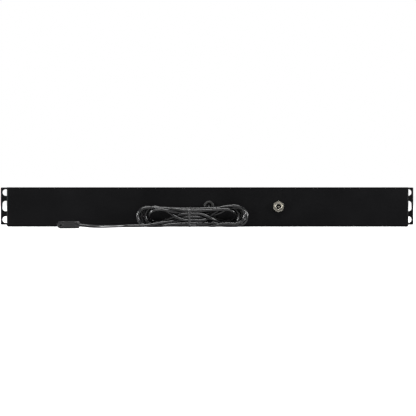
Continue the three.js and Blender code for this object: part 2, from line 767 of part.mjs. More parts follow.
// The probe capsule lies at the end of the tail, with a fixing eye at its free end.
function probe() {
  const [end, before] = [tailPoints.at(-1), tailPoints.at(-2)];
  const [h, half] = [probeHeight, probeThickness / 2];
  const collarEnd = gap + probeCollarLength;
  const outline = roundedOutline(collarEnd + gap, 0, probeLength, h, [0.6, h / 2, h / 2, 0.6]);
  const eye = rodY(probeLength - probeEyeInset, h / 2, -half - 1, half + 1, probeEyeRadius, 16);
  const inset = half - probeCollarInset;
  const collar = roundedOutline(gap, 0, collarEnd, h, [1.2, 0.5, 0.5, 1.2]);
  const made = [
    piece("probe_body", prismY(outline, -half, half, 8).subtract(eye), probePlastic),
    piece("probe_collar", prismY(collar, -inset, inset, 4), probePlastic),
  ];
  for (const mesh of made) {
    mesh.position.set(end[0], end[1], 0);
    mesh.rotation.z = Math.atan2(end[1] - before[1], end[0] - before[0]);
  }
  return made;
}

function probeLead() {
  const group = new THREE.Group();
  group.position.y = bodyDepth;
  group.add(piece("probe_lead", tube(leadPoints, cableRadius, 4), cablePlastic));
  group.add(hank(), wireTie());
  group.add(piece("probe_lead_tail", tube(tailPoints, cableRadius, 14), cablePlastic));
  group.add(...probe());
  return group;
}

// ---- The whole unit -----------------------------------------------------------------------------
const unit = new THREE.Group();
unit.position.y = -(frontY + backY) / 2; // the origin is under the middle of the casing
unit.add(frontPanel(), chassis(), topCover(), ...casingScrews());
unit.add(fans());
unit.add(displayWindow(), displayModule(), board(), ...boardFixings(), ...buttons());
unit.add(...powerInlet(), ...leadEntry(), ...wiring());
unit.add(terminalStrip());
unit.add(probeLead());

const root = new THREE.Group();
root.add(unit);

export default root;
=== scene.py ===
"""A rack cooling unit with a remote temperature probe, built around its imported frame.

The unit faces -Y. Its plain back, with the power inlet and the probe's lead, faces +Y.
"""

import logging
import math
from contextlib import contextmanager
from dataclasses import dataclass
from enum import Enum
from typing import Any, Callable, Iterator, Sequence

import bmesh
import bpy
import numpy as np
from mathutils import Matrix, Vector


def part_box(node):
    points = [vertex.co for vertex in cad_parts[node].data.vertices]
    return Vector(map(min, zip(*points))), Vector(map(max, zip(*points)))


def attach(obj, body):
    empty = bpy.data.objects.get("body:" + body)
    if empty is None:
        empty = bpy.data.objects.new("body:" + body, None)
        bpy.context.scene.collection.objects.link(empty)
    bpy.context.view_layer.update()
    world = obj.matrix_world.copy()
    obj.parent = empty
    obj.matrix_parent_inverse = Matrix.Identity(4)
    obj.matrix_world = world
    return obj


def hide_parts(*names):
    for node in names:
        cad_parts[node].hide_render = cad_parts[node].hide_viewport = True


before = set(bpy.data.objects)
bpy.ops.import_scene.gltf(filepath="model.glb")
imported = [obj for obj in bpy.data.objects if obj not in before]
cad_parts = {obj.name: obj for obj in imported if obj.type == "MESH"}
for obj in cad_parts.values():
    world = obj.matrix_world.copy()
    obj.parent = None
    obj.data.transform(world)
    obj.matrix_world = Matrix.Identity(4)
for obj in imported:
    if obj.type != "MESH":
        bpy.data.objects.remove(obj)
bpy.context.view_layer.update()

LOG = logging.getLogger("rack_cooler")
MM = 0.001
CASING = "casing"
Point = tuple[float, float, float]


# ---- Where things are, from the frame ------------------------------------------------------------
PANEL_LOW, PANEL_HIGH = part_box("front_panel")
CHASSIS_LOW, CHASSIS_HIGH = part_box("chassis")
COVER_LOW, COVER_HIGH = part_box("top_cover")
MIDDLE = (PANEL_LOW.z + PANEL_HIGH.z) / 2
WALL = CHASSIS_HIGH.y  # the outside of the rear wall
SHEET = COVER_HIGH.z - COVER_LOW.z
FANS = 4
BUTTONS = 3


def centre(node: str) -> Vector:
    """Returns the middle of a CAD node's box."""
    low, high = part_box(node)
    return (low + high) / 2


# ---- Shader maths --------------------------------------------------------------------------------
class Signal:
    """A shader socket that Python's operators work on, each adding one Math node."""

    def __init__(self, graph: "Graph", socket: bpy.types.NodeSocket) -> None:
        """Wraps a socket of a graph.

        Args:
            graph: the graph that the socket is in.
            socket: an output socket.
        """
        self.graph = graph
        self.socket = socket

    def _math(self, operation: str, *values: Any) -> "Signal":
        """Returns the result of a Math node."""
        return self.graph.node("ShaderNodeMath", {"operation": operation}, dict(enumerate(values)))

    def __add__(self, other: Any) -> "Signal":
        """Returns self + other."""
        return self._math("ADD", self, other)

    def __sub__(self, other: Any) -> "Signal":
        """Returns self - other."""
        return self._math("SUBTRACT", self, other)

    def __rsub__(self, other: Any) -> "Signal":
        """Returns other - self."""
        return self._math("SUBTRACT", other, self)

    def __mul__(self, other: Any) -> "Signal":
        """Returns self * other."""
        return self._math("MULTIPLY", self, other)

    __radd__ = __add__
    __rmul__ = __mul__

class Graph:
    """A material and the nodes that make it."""

    def __init__(self, name: str) -> None:
        """Makes an empty material.

        Args:
            name: the material's name.
        """
        self.material = bpy.data.materials.new(name)
        self.material.use_nodes = True
        self.tree = self.material.node_tree
        self.tree.nodes.clear()

    def node(
        self,
        kind: str,
        settings: dict[str, Any] | None = None,
        inputs: dict[Any, Any] | None = None,
        output: Any = 0,
    ) -> Signal:
        """Adds a node.

        Args:
            kind: the node's type.
            settings: its properties, and "stops" for a ramp's positions and colours.
            inputs: values or signals for its sockets, by name or number.
            output: the name or number of the socket to return.

        Returns:
            The asked output.
        """
        made = self.tree.nodes.new(kind)
        for key, value in (settings or {}).items():
            if key == "stops":
                self._ramp(made, value)
            else:
                setattr(made, key, value)
        for key, value in (inputs or {}).items():
            if isinstance(value, Signal):
                self.tree.links.new(value.socket, made.inputs[key])
            else:
                made.inputs[key].default_value = value
        return Signal(self, made.outputs[output]) if len(made.outputs) else Signal(self, None)

    @staticmethod
    def _ramp(node: bpy.types.Node, stops: Sequence[tuple[float, float]]) -> None:
        """Gives a colour ramp its stops, each a position and a grey level.

        Args:
            node: the ramp node.
            stops: each a position and a grey level.
        """
        elements = node.color_ramp.elements
        while len(elements) < len(stops):
            elements.new(0.5)
        for element, (place, level) in zip(elements, stops):
            element.position = place
            element.color = (level, level, level, 1)

    def place(self, scale: Point = (1, 1, 1)) -> Signal:
        """Returns Object coordinates, scaled along each axis."""
        where = self.node("ShaderNodeTexCoord", output="Object")
        return self.node("ShaderNodeMapping", None, {"Vector": where, "Scale": scale})

    def noise(self, size: float, detail: float = 3, stretch: Point = (1, 1, 1)) -> Signal:
        """Returns a noise.

        Args:
            size: the size of its features, in metres.
            detail: how many finer layers it has.
            stretch: a scale for each axis, under 1 to draw the features out along it.

        Returns:
            The noise, from 0 to 1.
        """
        settings = {"noise_dimensions": "3D"}
        inputs = {"Vector": self.place(stretch), "Scale": 1 / size, "Detail": detail}
        return self.node("ShaderNodeTexNoise", settings, inputs)

    def cells(self, size: float, feature: str = "F1") -> Signal:
        """Returns the distance in a Voronoi pattern whose cells have a size in metres."""
        inputs = {"Vector": self.place(), "Scale": 1 / size}
        return self.node("ShaderNodeTexVoronoi", {"feature": feature}, inputs)

    def levels(self, signal: Signal, *stops: tuple[float, float]) -> Signal:
        """Returns a signal remapped by the stops of a ramp."""
        return self.node("ShaderNodeValToRGB", {"stops": stops}, {"Fac": signal})

    def blend(self, amount: Any, first: Any, second: Any) -> Signal:
        """Returns a mix of two colours.

        Args:
            amount: how much of the second one.
            first: a colour.
            second: a colour.

        Returns:
            The mixed colour.
        """
        colours = [c if isinstance(c, Signal) else (*c, 1) for c in (first, second)]
        inputs = {0: amount, 6: colours[0], 7: colours[1]}
        return self.node("ShaderNodeMix", {"data_type": "RGBA"}, inputs, 2)

    def bump(self, height: Signal, depth: float, strength: float = 1) -> Signal:
        """Returns a normal.

        Args:
            height: the surface's height, from 0 to 1.
            depth: what a height of 1 stands for, in metres.
            strength: how much of it shows.
        """
        inputs = {"Height": height, "Distance": depth, "Strength": strength}
        return self.node("ShaderNodeBump", None, inputs)

    def surface(self, **inputs: Any) -> bpy.types.Material:
        """Ends the graph in a Principled shader.

        Args:
            **inputs: its sockets' values, with an underscore for each space in a name.

        Returns:
            The material.
        """
        named = {key.replace("_", " "): value for key, value in inputs.items()}
        shader = self.node("ShaderNodeBsdfPrincipled", None, named)
        self.node("ShaderNodeOutputMaterial", None, {"Surface": shader})
        return self.material


# ---- Finishes ------------------------------------------------------------------------------------
@dataclass(frozen=True)
class PowderCoat:
    """Black powder paint, baked on sheet metal with a fine pebbled texture."""

    colour: Point = (0.0028, 0.0028, 0.0031)
    worn: Point = (0.006, 0.006, 0.0065)
    grain: float = 0.55 * MM
    roughness: float = 0.42
    reflection: float = 0.05

    def material(self, name: str) -> bpy.types.Material:
        """Returns the finish as a material.

        Args:
            name: the material's name.

        Returns:
            The material.
        """
        graph = Graph(name)
        pebbles = graph.levels(graph.cells(self.grain), (0.1, 1), (0.75, 0))
        fine = graph.noise(self.grain * 0.4, 2)
        cloud = graph.levels(graph.noise(45 * MM, 4), (0.35, 0), (0.7, 1))
        rubbed = graph.levels(graph.noise(9 * MM, 6, (1, 1, 0.25)), (0.6, 0), (0.8, 1))
        tone = graph.blend(0.35 * cloud + 0.2 * fine, self.colour, self.worn)
        gloss = self.roughness + 0.12 * cloud - 0.1 * rubbed + 0.05 * fine
        height = 0.75 * pebbles + 0.25 * fine
        return graph.surface(
            Base_Color=tone,
            Roughness=gloss,
            Specular_IOR_Level=self.reflection,
            Normal=graph.bump(height, 0.045 * MM, 0.55),
        )


@dataclass(frozen=True)
class PlatedMetal:
    """Plated or oxidised steel and brass, with turning marks and fine scratches."""

    colour: Point
    shade: Point
    roughness: float = 0.24
    mark: float = 0.12 * MM

    def material(self, name: str) -> bpy.types.Material:
        """Returns the finish as a material.

        Args:
            name: the material's name.

        Returns:
            The material.
        """
        graph = Graph(name)
        turned = graph.noise(self.mark, 2, (0.15, 1, 0.15))
        dull = graph.levels(graph.noise(1.6 * MM, 4), (0.4, 0), (0.72, 1))
        scratches = graph.levels(graph.noise(0.35 * MM, 5, (1, 0.2, 0.35)), (0.6, 0), (0.7, 1))
        tone = graph.blend(0.7 * dull, self.colour, self.shade)
        gloss = self.roughness + 0.16 * dull + 0.1 * scratches
        return graph.surface(
            Base_Color=tone,
            Metallic=1.0,
            Roughness=gloss,
            Normal=graph.bump(turned + 0.6 * scratches, 0.006 * MM, 0.5),
        )


@dataclass(frozen=True)
class MouldedPlastic:
    """Injection-moulded plastic with a fine spark-eroded grain."""

    colour: Point
    pale: Point
    roughness: float = 0.42
    grain: float = 0.22 * MM
    depth: float = 0.014 * MM

    def material(self, name: str) -> bpy.types.Material:
        """Returns the finish as a material.

        Args:
            name: the material's name.

        Returns:
            The material.
        """
        graph = Graph(name)
        grain = graph.noise(self.grain, 3)
        flow = graph.levels(graph.noise(7 * MM, 3, (0.4, 1, 1)), (0.38, 0), (0.7, 1))
        dust = graph.levels(graph.noise(1.1 * MM, 6), (0.66, 0), (0.82, 1))
        tone = graph.blend(0.3 * flow + 0.45 * dust, self.colour, self.pale)
        gloss = self.roughness + 0.1 * flow + 0.08 * grain + 0.1 * dust
        return graph.surface(
            Base_Color=tone,
            Roughness=gloss,
            Specular_IOR_Level=0.45,
            Normal=graph.bump(grain, self.depth, 0.6),
        )


@dataclass(frozen=True)
class Sheath:
    """Flexible PVC of a lead: smooth, a little glossy, with faint drawn lines."""

    colour: Point = (0.0055, 0.0055, 0.006)
    pale: Point = (0.014, 0.014, 0.015)
    roughness: float = 0.17

    def material(self, name: str) -> bpy.types.Material:
        """Returns the finish as a material.

        Args:
            name: the material's name.

        Returns:
            The material.
        """
        graph = Graph(name)
        skin = graph.noise(1.1 * MM, 2, (0.2, 1, 1))
        handled = graph.levels(graph.noise(6 * MM, 5), (0.42, 0), (0.68, 1))
        dust = graph.levels(graph.noise(0.6 * MM, 4), (0.64, 0), (0.8, 1))
        tone = graph.blend(0.3 * handled + 0.12 * dust, self.colour, self.pale)
        gloss = self.roughness + 0.08 * handled + 0.03 * skin
        return graph.surface(
            Base_Color=tone,
            Roughness=gloss,
            Specular_IOR_Level=0.5,
            Normal=graph.bump(skin, 0.004 * MM, 0.25),
        )


@dataclass(frozen=True)
class Rubber:
    """Soft black rubber with bloom on its surface."""

    colour: Point = (0.01, 0.01, 0.01)
    bloom: Point = (0.04, 0.04, 0.039)

    def material(self, name: str) -> bpy.types.Material:
        """Returns the finish as a material.

        Args:
            name: the material's name.

        Returns:
            The material.
        """
        graph = Graph(name)
        skin = graph.noise(0.18 * MM, 4)
        bloom = graph.levels(graph.noise(1.8 * MM, 5), (0.45, 0), (0.75, 1))
        tone = graph.blend(0.5 * bloom, self.colour, self.bloom)
        return graph.surface(
            Base_Color=tone,
            Roughness=0.44 + 0.18 * bloom,
            Specular_IOR_Level=0.4,
            Normal=graph.bump(skin, 0.02 * MM, 0.6),
        )


@dataclass(frozen=True)
class SmokedAcrylic:
    """A clear plastic lens, dyed dark red."""

    colour: Point = (0.022, 0.0015, 0.002)

    def material(self, name: str) -> bpy.types.Material:
        """Returns the finish as a material.

        Args:
            name: the material's name.

        Returns:
            The material.
        """
        graph = Graph(name)
        smear = graph.levels(graph.noise(8 * MM, 5, (1, 1, 0.4)), (0.45, 0), (0.75, 1))
        hairline = graph.levels(graph.noise(0.5 * MM, 4, (1, 1, 0.08)), (0.68, 0), (0.74, 1))
        tone = graph.blend(smear, self.colour, tuple(1.6 * c for c in self.colour))
        return graph.surface(
            Base_Color=tone,
            Roughness=0.06 + 0.08 * smear + 0.12 * hairline,
            Alpha=0.5,
            Normal=graph.bump(hairline, 0.004 * MM, 0.4),
        )


@dataclass(frozen=True)
class CircuitBoard:
    """Green solder mask over copper tracks, with tinned pads."""

    mask: Point = (0.006, 0.07, 0.024)
    track: Point = (0.012, 0.12, 0.04)
    tin: Point = (0.55, 0.55, 0.53)

    def material(self, name: str) -> bpy.types.Material:
        """Returns the finish as a material.

        Args:
            name: the material's name.

        Returns:
            The material.
        """
        graph = Graph(name)
        cells = graph.node(
            "ShaderNodeTexVoronoi",
            {"feature": "DISTANCE_TO_EDGE", "distance": "EUCLIDEAN"},
            {"Vector": graph.place((1, 0.01, 2.2)), "Scale": 1 / (6 * MM)},
        )
        tracks = graph.levels(cells, (0.03, 1), (0.05, 0))
        pads = graph.levels(graph.cells(2.54 * MM), (0.1, 1), (0.14, 0))
        weave = graph.noise(0.4 * MM, 2, (1, 1, 0.3))
        tone = graph.blend(tracks, self.mask, self.track)
        tone = graph.blend(pads, tone, self.tin)
        return graph.surface(
            Base_Color=tone,
            Roughness=0.36 - 0.1 * pads + 0.1 * weave,
            Metallic=pads,
            Normal=graph.bump(0.7 * tracks + pads + 0.2 * weave, 0.03 * MM, 0.6),
        )


class Finish(Enum):
    """The unit's finishes, each with the record's slot that it stands for."""

    PANEL = ("panel_paint", PowderCoat(grain=0.42 * MM, roughness=0.46))
    CASE = ("case_paint", PowderCoat())
    BLACK_SCREW = ("black_screw", PlatedMetal((0.035, 0.035, 0.037), (0.012, 0.012, 0.013), 0.36))
    ZINC_SCREW = ("zinc_screw", PlatedMetal((0.62, 0.63, 0.66), (0.4, 0.41, 0.42), 0.28))
    NICKEL = ("nickel", PlatedMetal((0.42, 0.4, 0.35), (0.24, 0.23, 0.2), 0.22))
    FAN = ("fan_plastic", MouldedPlastic((0.012, 0.012, 0.0125), (0.03, 0.03, 0.031)))
    WINDOW = ("window_plastic", SmokedAcrylic())
    COMPONENT = ("component_black", MouldedPlastic((0.01, 0.01, 0.011), (0.03, 0.03, 0.03), 0.5))
    SEGMENT = ("component_black", MouldedPlastic((0.42, 0.15, 0.13), (0.5, 0.2, 0.17), 0.35))
    BOARD = ("board", CircuitBoard())
    BUTTON = ("button_plastic", MouldedPlastic((0.022, 0.022, 0.023), (0.05, 0.05, 0.052), 0.46))
    RUBBER = ("rubber", Rubber())
    TERMINAL = ("terminal_plastic", MouldedPlastic((0.56, 0.54, 0.47), (0.7, 0.68, 0.6), 0.4))
    SHEATH = ("cable_sheath", Sheath())
    TIE = ("tie_plastic", MouldedPlastic((0.022, 0.022, 0.023), (0.05, 0.05, 0.051), 0.2))
    PROBE = ("probe_plastic", MouldedPlastic((0.007, 0.007, 0.0075), (0.02, 0.02, 0.021), 0.16))

    @property
    def slot(self) -> str:
        """The record's material slot."""
        return self.value[0]

    def material(self) -> bpy.types.Material:
        """Returns the finish's material, made the first time that it is asked for."""
        name = f"finish_{self.name.lower()}"
        return bpy.data.materials.get(name) or self.value[1].material(name)


# ---- Modelling -----------------------------------------------------------------------------------
class Axis(Enum):
    """An axis of the row frame, as its number and its direction."""

    X = 0
    Y = 1
    Z = 2

    @property
    def turn(self) -> Point:
        """The rotation that takes Z onto the axis."""
        return ((0, math.pi / 2, 0), (-math.pi / 2, 0, 0), (0, 0, 0))[self.value]


def choose(obj: bpy.types.Object) -> None:
    """Makes an object the only selected one, and the active one.

    Args:
        obj: a mesh object.
    """
    bpy.ops.object.select_all(action="DESELECT")
    obj.select_set(True)
    bpy.context.view_layer.objects.active = obj


def settle(obj: bpy.types.Object, name: str) -> bpy.types.Object:
    """Names a new object and puts its place, turn and scale into its mesh.

    Args:
        obj: a mesh object.
        name: its name.

    Returns:
        The same object.
    """
    choose(obj)
    obj.name = obj.data.name = name
    bpy.ops.object.transform_apply(location=True, rotation=True, scale=True)
    return obj


@contextmanager
def editing(obj: bpy.types.Object) -> Iterator[bmesh.types.BMesh]:
    """Opens an object in edit mode with nothing selected.

    Args:
        obj: a mesh object.

    Yields:
        Its edit mesh.
    """
    choose(obj)
    bpy.ops.object.mode_set(mode="EDIT")
    bpy.ops.mesh.select_all(action="DESELECT")
    try:
        yield bmesh.from_edit_mesh(obj.data)
    finally:
        bpy.ops.object.mode_set(mode="OBJECT")


def pick_edges(obj: bpy.types.Object, test: Callable[[Vector, Vector], bool]) -> None:
    """Selects the edges whose two ends pass a test, in edit mode.

    Args:
        obj: a mesh object.
        test: takes an edge's two ends and says whether to select it.
    """
    bpy.ops.mesh.select_mode(type="EDGE")
    mesh = bmesh.from_edit_mesh(obj.data)
    for edge in mesh.edges:
        edge.select_set(test(edge.verts[0].co, edge.verts[1].co))
    mesh.select_flush_mode()
    bmesh.update_edit_mesh(obj.data)


def block(name: str, low: Sequence[float], high: Sequence[float]) -> bpy.types.Object:
    """Returns a block between two corners.

    Args:
        name: the object's name.
        low: its low corner.
        high: its high corner.

    Returns:
        The object.
    """
    middle = [(a + b) / 2 for a, b in zip(low, high)]
    size = [b - a for a, b in zip(low, high)]
    bpy.ops.mesh.primitive_cube_add(size=1, location=middle)
    made = bpy.context.object
    made.scale = size
    return settle(made, name)


def rod(
    name: str,
    middle: Sequence[float],
    radius: float,
    length: float,
    axis: Axis = Axis.Y,
    sides: int = 32,
    end_radius: float | None = None,
) -> bpy.types.Object:
    """Returns a cylinder or a cone along an axis.

    Args:
        name: the object's name.
        middle: the middle of its length.
        radius: its radius at the low end.
        length: its length.
        axis: the axis that it lies along.
        sides: how many sides it has.
        end_radius: its radius at the high end, if that differs.

    Returns:
        The object.
    """
    bpy.ops.mesh.primitive_cone_add(
        vertices=sides,
        radius1=radius,
        radius2=radius if end_radius is None else end_radius,
        depth=length,
        location=middle,
        rotation=axis.turn,
    )
    return settle(bpy.context.object, name)


def round_edges(
    obj: bpy.types.Object,
    radius: float,
    segments: int,
    test: Callable[[Vector, Vector], bool],
) -> bpy.types.Object:
    """Bevels the edges that pass a test, in edit mode, and returns the object.

    Args:
        obj: a mesh object.
        radius: the bevel's radius.
        segments: its segments.
        test: picks the edges.

    Returns:
        The same object.
    """
    with editing(obj):
        pick_edges(obj, test)
        bpy.ops.mesh.bevel(offset=radius, offset_type="OFFSET", segments=segments, affect="EDGES")
    return obj


def along(axis: Axis) -> Callable[[Vector, Vector], bool]:
    """Returns a test for edges that run along an axis."""
    others = [i for i in range(3) if i != axis.value]
    return lambda a, b: all(abs(a[i] - b[i]) < 1e-6 for i in others)


def rounded_block(
    name: str,
    low: Sequence[float],
    high: Sequence[float],
    axis: Axis,
    radius: float,
    segments: int = 6,
) -> bpy.types.Object:
    """Returns a block whose four edges along an axis are rounded."""
    return round_edges(block(name, low, high), radius, segments, along(axis))


def lathe(
    name: str,
    profile: Sequence[tuple[float, float]],
    hub: Vector,
    steps: int,
    closed: bool = True,
) -> bpy.types.Object:
    """Returns a profile turned about the Y axis through a point.

    Args:
        name: the object's name.
        profile: its corners, each a radius and a distance along Y from the point, in order.
        hub: a point on the axis.
        steps: how many steps the turn has.
        closed: whether the profile closes on itself; otherwise both its ends are on the axis.

    Returns:
        The object.
    """
    corners = [hub + Vector((r, y, 0)) for r, y in profile]
    if closed:
        corners.append(corners[0])
    bpy.ops.mesh.primitive_plane_add(size=MM, location=corners[0])
    made = settle(bpy.context.object, name)
    with editing(made):
        bpy.ops.mesh.select_mode(type="VERT")
        bpy.ops.mesh.select_all(action="SELECT")
        bpy.ops.mesh.merge(type="CENTER")
        for before, after in zip(corners, corners[1:]):
            bpy.ops.mesh.extrude_vertices_move(TRANSFORM_OT_translate={"value": after - before})
        bpy.ops.mesh.select_all(action="SELECT")
        bpy.ops.mesh.remove_doubles(threshold=1e-7)
        bpy.ops.mesh.spin(steps=steps, angle=math.tau, center=hub, axis=(0, 1, 0))
        bpy.ops.mesh.select_all(action="SELECT")
        bpy.ops.mesh.remove_doubles(threshold=1e-6)
        bpy.ops.mesh.normals_make_consistent(inside=False)
    return made


def join(objects: Sequence[bpy.types.Object], name: str) -> bpy.types.Object:
    """Joins objects into the first one and names it.

    Args:
        objects: the objects.
        name: its new name.

    Returns:
        The first object.
    """
    choose(objects[0])
    for obj in objects[1:]:
        obj.select_set(True)
    if len(objects) > 1:
        bpy.ops.object.join()
    objects[0].name = objects[0].data.name = name
    return objects[0]


def modify(obj: bpy.types.Object, kind: str, **settings: Any) -> bpy.types.Object:
    """Adds a modifier, applies it and returns the object.

    Args:
        obj: a mesh object.
        kind: the modifier's type.
        **settings: the modifier's properties.

    Returns:
        The same object.
    """
    modifier = obj.modifiers.new(kind.lower(), kind)
    for key, value in settings.items():
        setattr(modifier, key, value)
    choose(obj)
    bpy.ops.object.modifier_apply(modifier=modifier.name)
    return obj


def carve(
    obj: bpy.types.Object, cutters: Sequence[bpy.types.Object], operation: str = "DIFFERENCE"
) -> bpy.types.Object:
    """Cuts an object by others, which don't overlap each other and are removed after.

    Args:
        obj: a mesh object.
        cutters: the objects that cut it.
        operation: a boolean operation.

    Returns:
        The same object.
    """
    tool = join(list(cutters), "cutter")
    modify(obj, "BOOLEAN", operation=operation, solver="EXACT", object=tool)
    bpy.data.objects.remove(tool)
    return obj


def soften(obj: bpy.types.Object, radius: float, segments: int = 2, angle: float = 40) -> bpy.types.Object:
    """Bevels every edge sharper than an angle and shades the piece smooth by angle.

    Args:
        obj: a mesh object.
        radius: the bevel's radius.
        segments: its segments.
        angle: the least angle, in degrees.

    Returns:
        The same object.
    """
    modify(
        obj,
        "BEVEL",
        width=radius,
        segments=segments,
        limit_method="ANGLE",
        angle_limit=math.radians(angle),
        use_clamp_overlap=True,
    )
    smooth(obj, 65)
    return modify(obj, "WEIGHTED_NORMAL", keep_sharp=True)


def smooth(obj: bpy.types.Object, angle: float = 32) -> bpy.types.Object:
    """Shades a piece smooth across edges under an angle in degrees.

    Args:
        obj: a mesh object.
        angle: the greatest angle that is smoothed.

    Returns:
        The same object.
    """
    choose(obj)
    bpy.ops.object.shade_smooth_by_angle(angle=math.radians(angle))
    return obj


def copied(obj: bpy.types.Object, name: str, move: Matrix) -> bpy.types.Object:
    """Returns a copy with its own mesh, moved in its mesh.

    Args:
        obj: a mesh object.
        name: the copy's name.
        move: how its mesh is moved.

    Returns:
        The copy.
    """
    made = obj.copy()
    made.data = obj.data.copy()
    made.name = made.data.name = name
    made.data.transform(move)
    bpy.context.collection.objects.link(made)
    return made


def dress(
    obj: bpy.types.Object, finish: Finish, body: str = CASING, replaces: Sequence[str] = ()
) -> bpy.types.Object:
    """Gives a new piece its finish and its body, and reports it.

    Args:
        obj: the piece.
        finish: its finish.
        body: the CAD body that it moves with.
        replaces: the CAD nodes that it stands for.

    Returns:
        The piece.
    """
    obj.data.materials.clear()
    obj.data.materials.append(finish.material())
    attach(obj, body)
    if replaces:
        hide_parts(*replaces)
    LOG.info("%s: %s, on %s", obj.name, finish.name.lower(), body)
    return obj


def dress_node(node: str, finish: Finish) -> None:
    """Gives a CAD node, which keeps its shape, a finish.

    Args:
        node: the node's name.
        finish: its finish.
    """
    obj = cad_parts[node]
    obj.data.materials.clear()
    obj.data.materials.append(finish.material())
    LOG.info("%s: %s", node, finish.name.lower())


# ---- Studio --------------------------------------------------------------------------------------
@dataclass
class Studio:
    """The camera straight behind the unit, a white floor and soft lights."""

    distance: float = 1.22  # from the rear wall
    height: float = 0.0396
    aside: float = 0.0124
    lens: float = 95.87
    shift_right: float = 11.6 / 416
    shift_up: float = -17.2 / 416
    floor_size: float = 14.0
    paper: Point = (0.42, 0.42, 0.42)
    lift: float = 0.9
    ambient: float = 0.1

    def build(self) -> None:
        """Makes the camera, the floor, the lights and the world."""
        self._camera()
        self._floor()
        self._lights()
        self._world()

    def _camera(self) -> None:
        """Adds the camera, level, and looking along -Y."""
        bpy.ops.object.camera_add(
            location=(self.aside, WALL + self.distance, self.height),
            rotation=(math.pi / 2, 0, math.pi),
        )
        camera = bpy.context.object
        camera.data.lens = self.lens
        camera.data.sensor_width = 36
        camera.data.shift_x = self.shift_right
        camera.data.shift_y = self.shift_up
        camera.data.clip_start = 0.05
        camera.data.clip_end = 60
        bpy.context.scene.camera = camera

    def _floor(self) -> None:
        """Adds a pale paper floor, which looks white and gives the unit a dimmer light."""
        bpy.ops.mesh.primitive_plane_add(size=self.floor_size, location=(0, 0, -0.05 * MM))
        floor = settle(bpy.context.object, "floor")
        graph = Graph("paper")
        fibre = graph.noise(2.5 * MM, 3)
        tone = graph.blend(fibre, self.paper, tuple(1.04 * c for c in self.paper))
        paper = graph.node("ShaderNodeBsdfDiffuse", None, {"Color": tone})
        lift = graph.node("ShaderNodeEmission", None, {"Strength": self.lift})
        seen = graph.node("ShaderNodeAddShader", None, {0: paper, 1: lift})
        rays = graph.node("ShaderNodeLightPath", output="Is Camera Ray")
        mixed = graph.node("ShaderNodeMixShader", None, {0: rays, 1: paper, 2: seen})
        graph.node("ShaderNodeOutputMaterial", None, {"Surface": mixed})
        floor.data.materials.append(graph.material)

    @staticmethod
    def _light(name: str, place: Point, target: Point, size: tuple[float, float], power: float) -> None:
        """Adds a rectangular soft light that faces a point.

        Args:
            name: the light's name.
            place: where it is.
            target: what it faces.
            size: its width and height.
            power: its watts.
        """
        bpy.ops.object.light_add(type="AREA", location=place)
        light = bpy.context.object
        light.name = name
        light.data.shape = "RECTANGLE"
        light.data.size, light.data.size_y = size
        light.data.energy = power
        light.rotation_mode = "QUATERNION"
        light.rotation_quaternion = (Vector(target) - Vector(place)).to_track_quat("-Z", "Y")

    def _lights(self) -> None:
        """Adds a long light above the back, lights over, before and beside the unit, and a dim fill."""
        self._light("key", (0.05, 0.46, 1.2), (0, 0.06, 0), (1.6, 0.3), 28)
        self._light("top", (0, -0.3, 1.6), (0, -0.05, 0), (1.6, 0.6), 8)
        self._light("left", (1.5, 0.45, 0.3), (0.22, 0, 0), (0.35, 0.8), 40)
        self._light("right", (-1.5, 0.45, 0.3), (-0.22, 0, 0), (0.35, 0.8), 30)
        self._light("front", (0.2, -1.4, 0.9), (0, 0, 0), (1.6, 0.5), 14)
        self._light("fill", (0, 2.3, 0.55), (0, 0, 0), (1.9, 1.1), 0.9)

    def _world(self) -> None:
        """Makes a world that is white to look at and gives a dimmer, even light."""
        world = bpy.data.worlds.new("studio")
        world.use_nodes = True
        nodes, links = world.node_tree.nodes, world.node_tree.links
        nodes.clear()
        rays = nodes.new("ShaderNodeLightPath")
        seen, given = nodes.new("ShaderNodeBackground"), nodes.new("ShaderNodeBackground")
        seen.inputs["Color"].default_value = (1, 1, 1, 1)
        seen.inputs["Strength"].default_value = 1.0
        given.inputs["Color"].default_value = (1, 1, 1, 1)
        given.inputs["Strength"].default_value = self.ambient
        mixed = nodes.new("ShaderNodeMixShader")
        output = nodes.new("ShaderNodeOutputWorld")
        links.new(rays.outputs["Is Camera Ray"], mixed.inputs[0])
        links.new(given.outputs[0], mixed.inputs[1])
        links.new(seen.outputs[0], mixed.inputs[2])
        links.new(mixed.outputs[0], output.inputs[0])
        bpy.context.scene.world = world
        bpy.context.scene.view_settings.view_transform = "Standard"
        bpy.context.scene.view_settings.look = "None"


# ---- Probe lead ----------------------------------------------------------------------------------
# The stretches that aren't folded: y is counted from the outside of the rear wall, in millimetres.
LEAD_POINTS = [
    (-1.3, 2.2, 23.1),
    (-1.3, 3.6, 22.8),
    (-1.3, 4.8, 22.1),
    (-1.3, 5.6, 21.1),
]
TAIL_POINTS = [
    (75.6, 18.7, 1.7),
    (82, 19.6, 1.7),
    (89, 22.4, 1.7),
    (96, 27.4, 1.7),
    (103, 33.8, 1.7),
    (110, 40.2, 1.7),
    (117, 46, 1.8),
    (124, 50.2, 2.2),
    (130.5, 52.6, 2.9),
    (136, 53.6, 3.6),
]


def spline(points: np.ndarray, step: float) -> np.ndarray:
    """Returns points a step apart along a Catmull-Rom curve through the given ones.

    Args:
        points: points to pass through.
        step: the distance between points.

    Returns:
        The points.
    """
    ends = np.vstack([2 * points[0] - points[1], points, 2 * points[-1] - points[-2]])
    fine = []
    for a, b, c, d in zip(ends, ends[1:], ends[2:], ends[3:]):
        for t in np.arange(0, 1, 1 / 16):
            square, cube = 2 * a - 5 * b + 4 * c - d, 3 * b - a - 3 * c + d
            fine.append(0.5 * (2 * b + (c - a) * t + square * t**2 + cube * t**3))
    fine.append(points[-1])
    return evenly(np.array(fine), step)


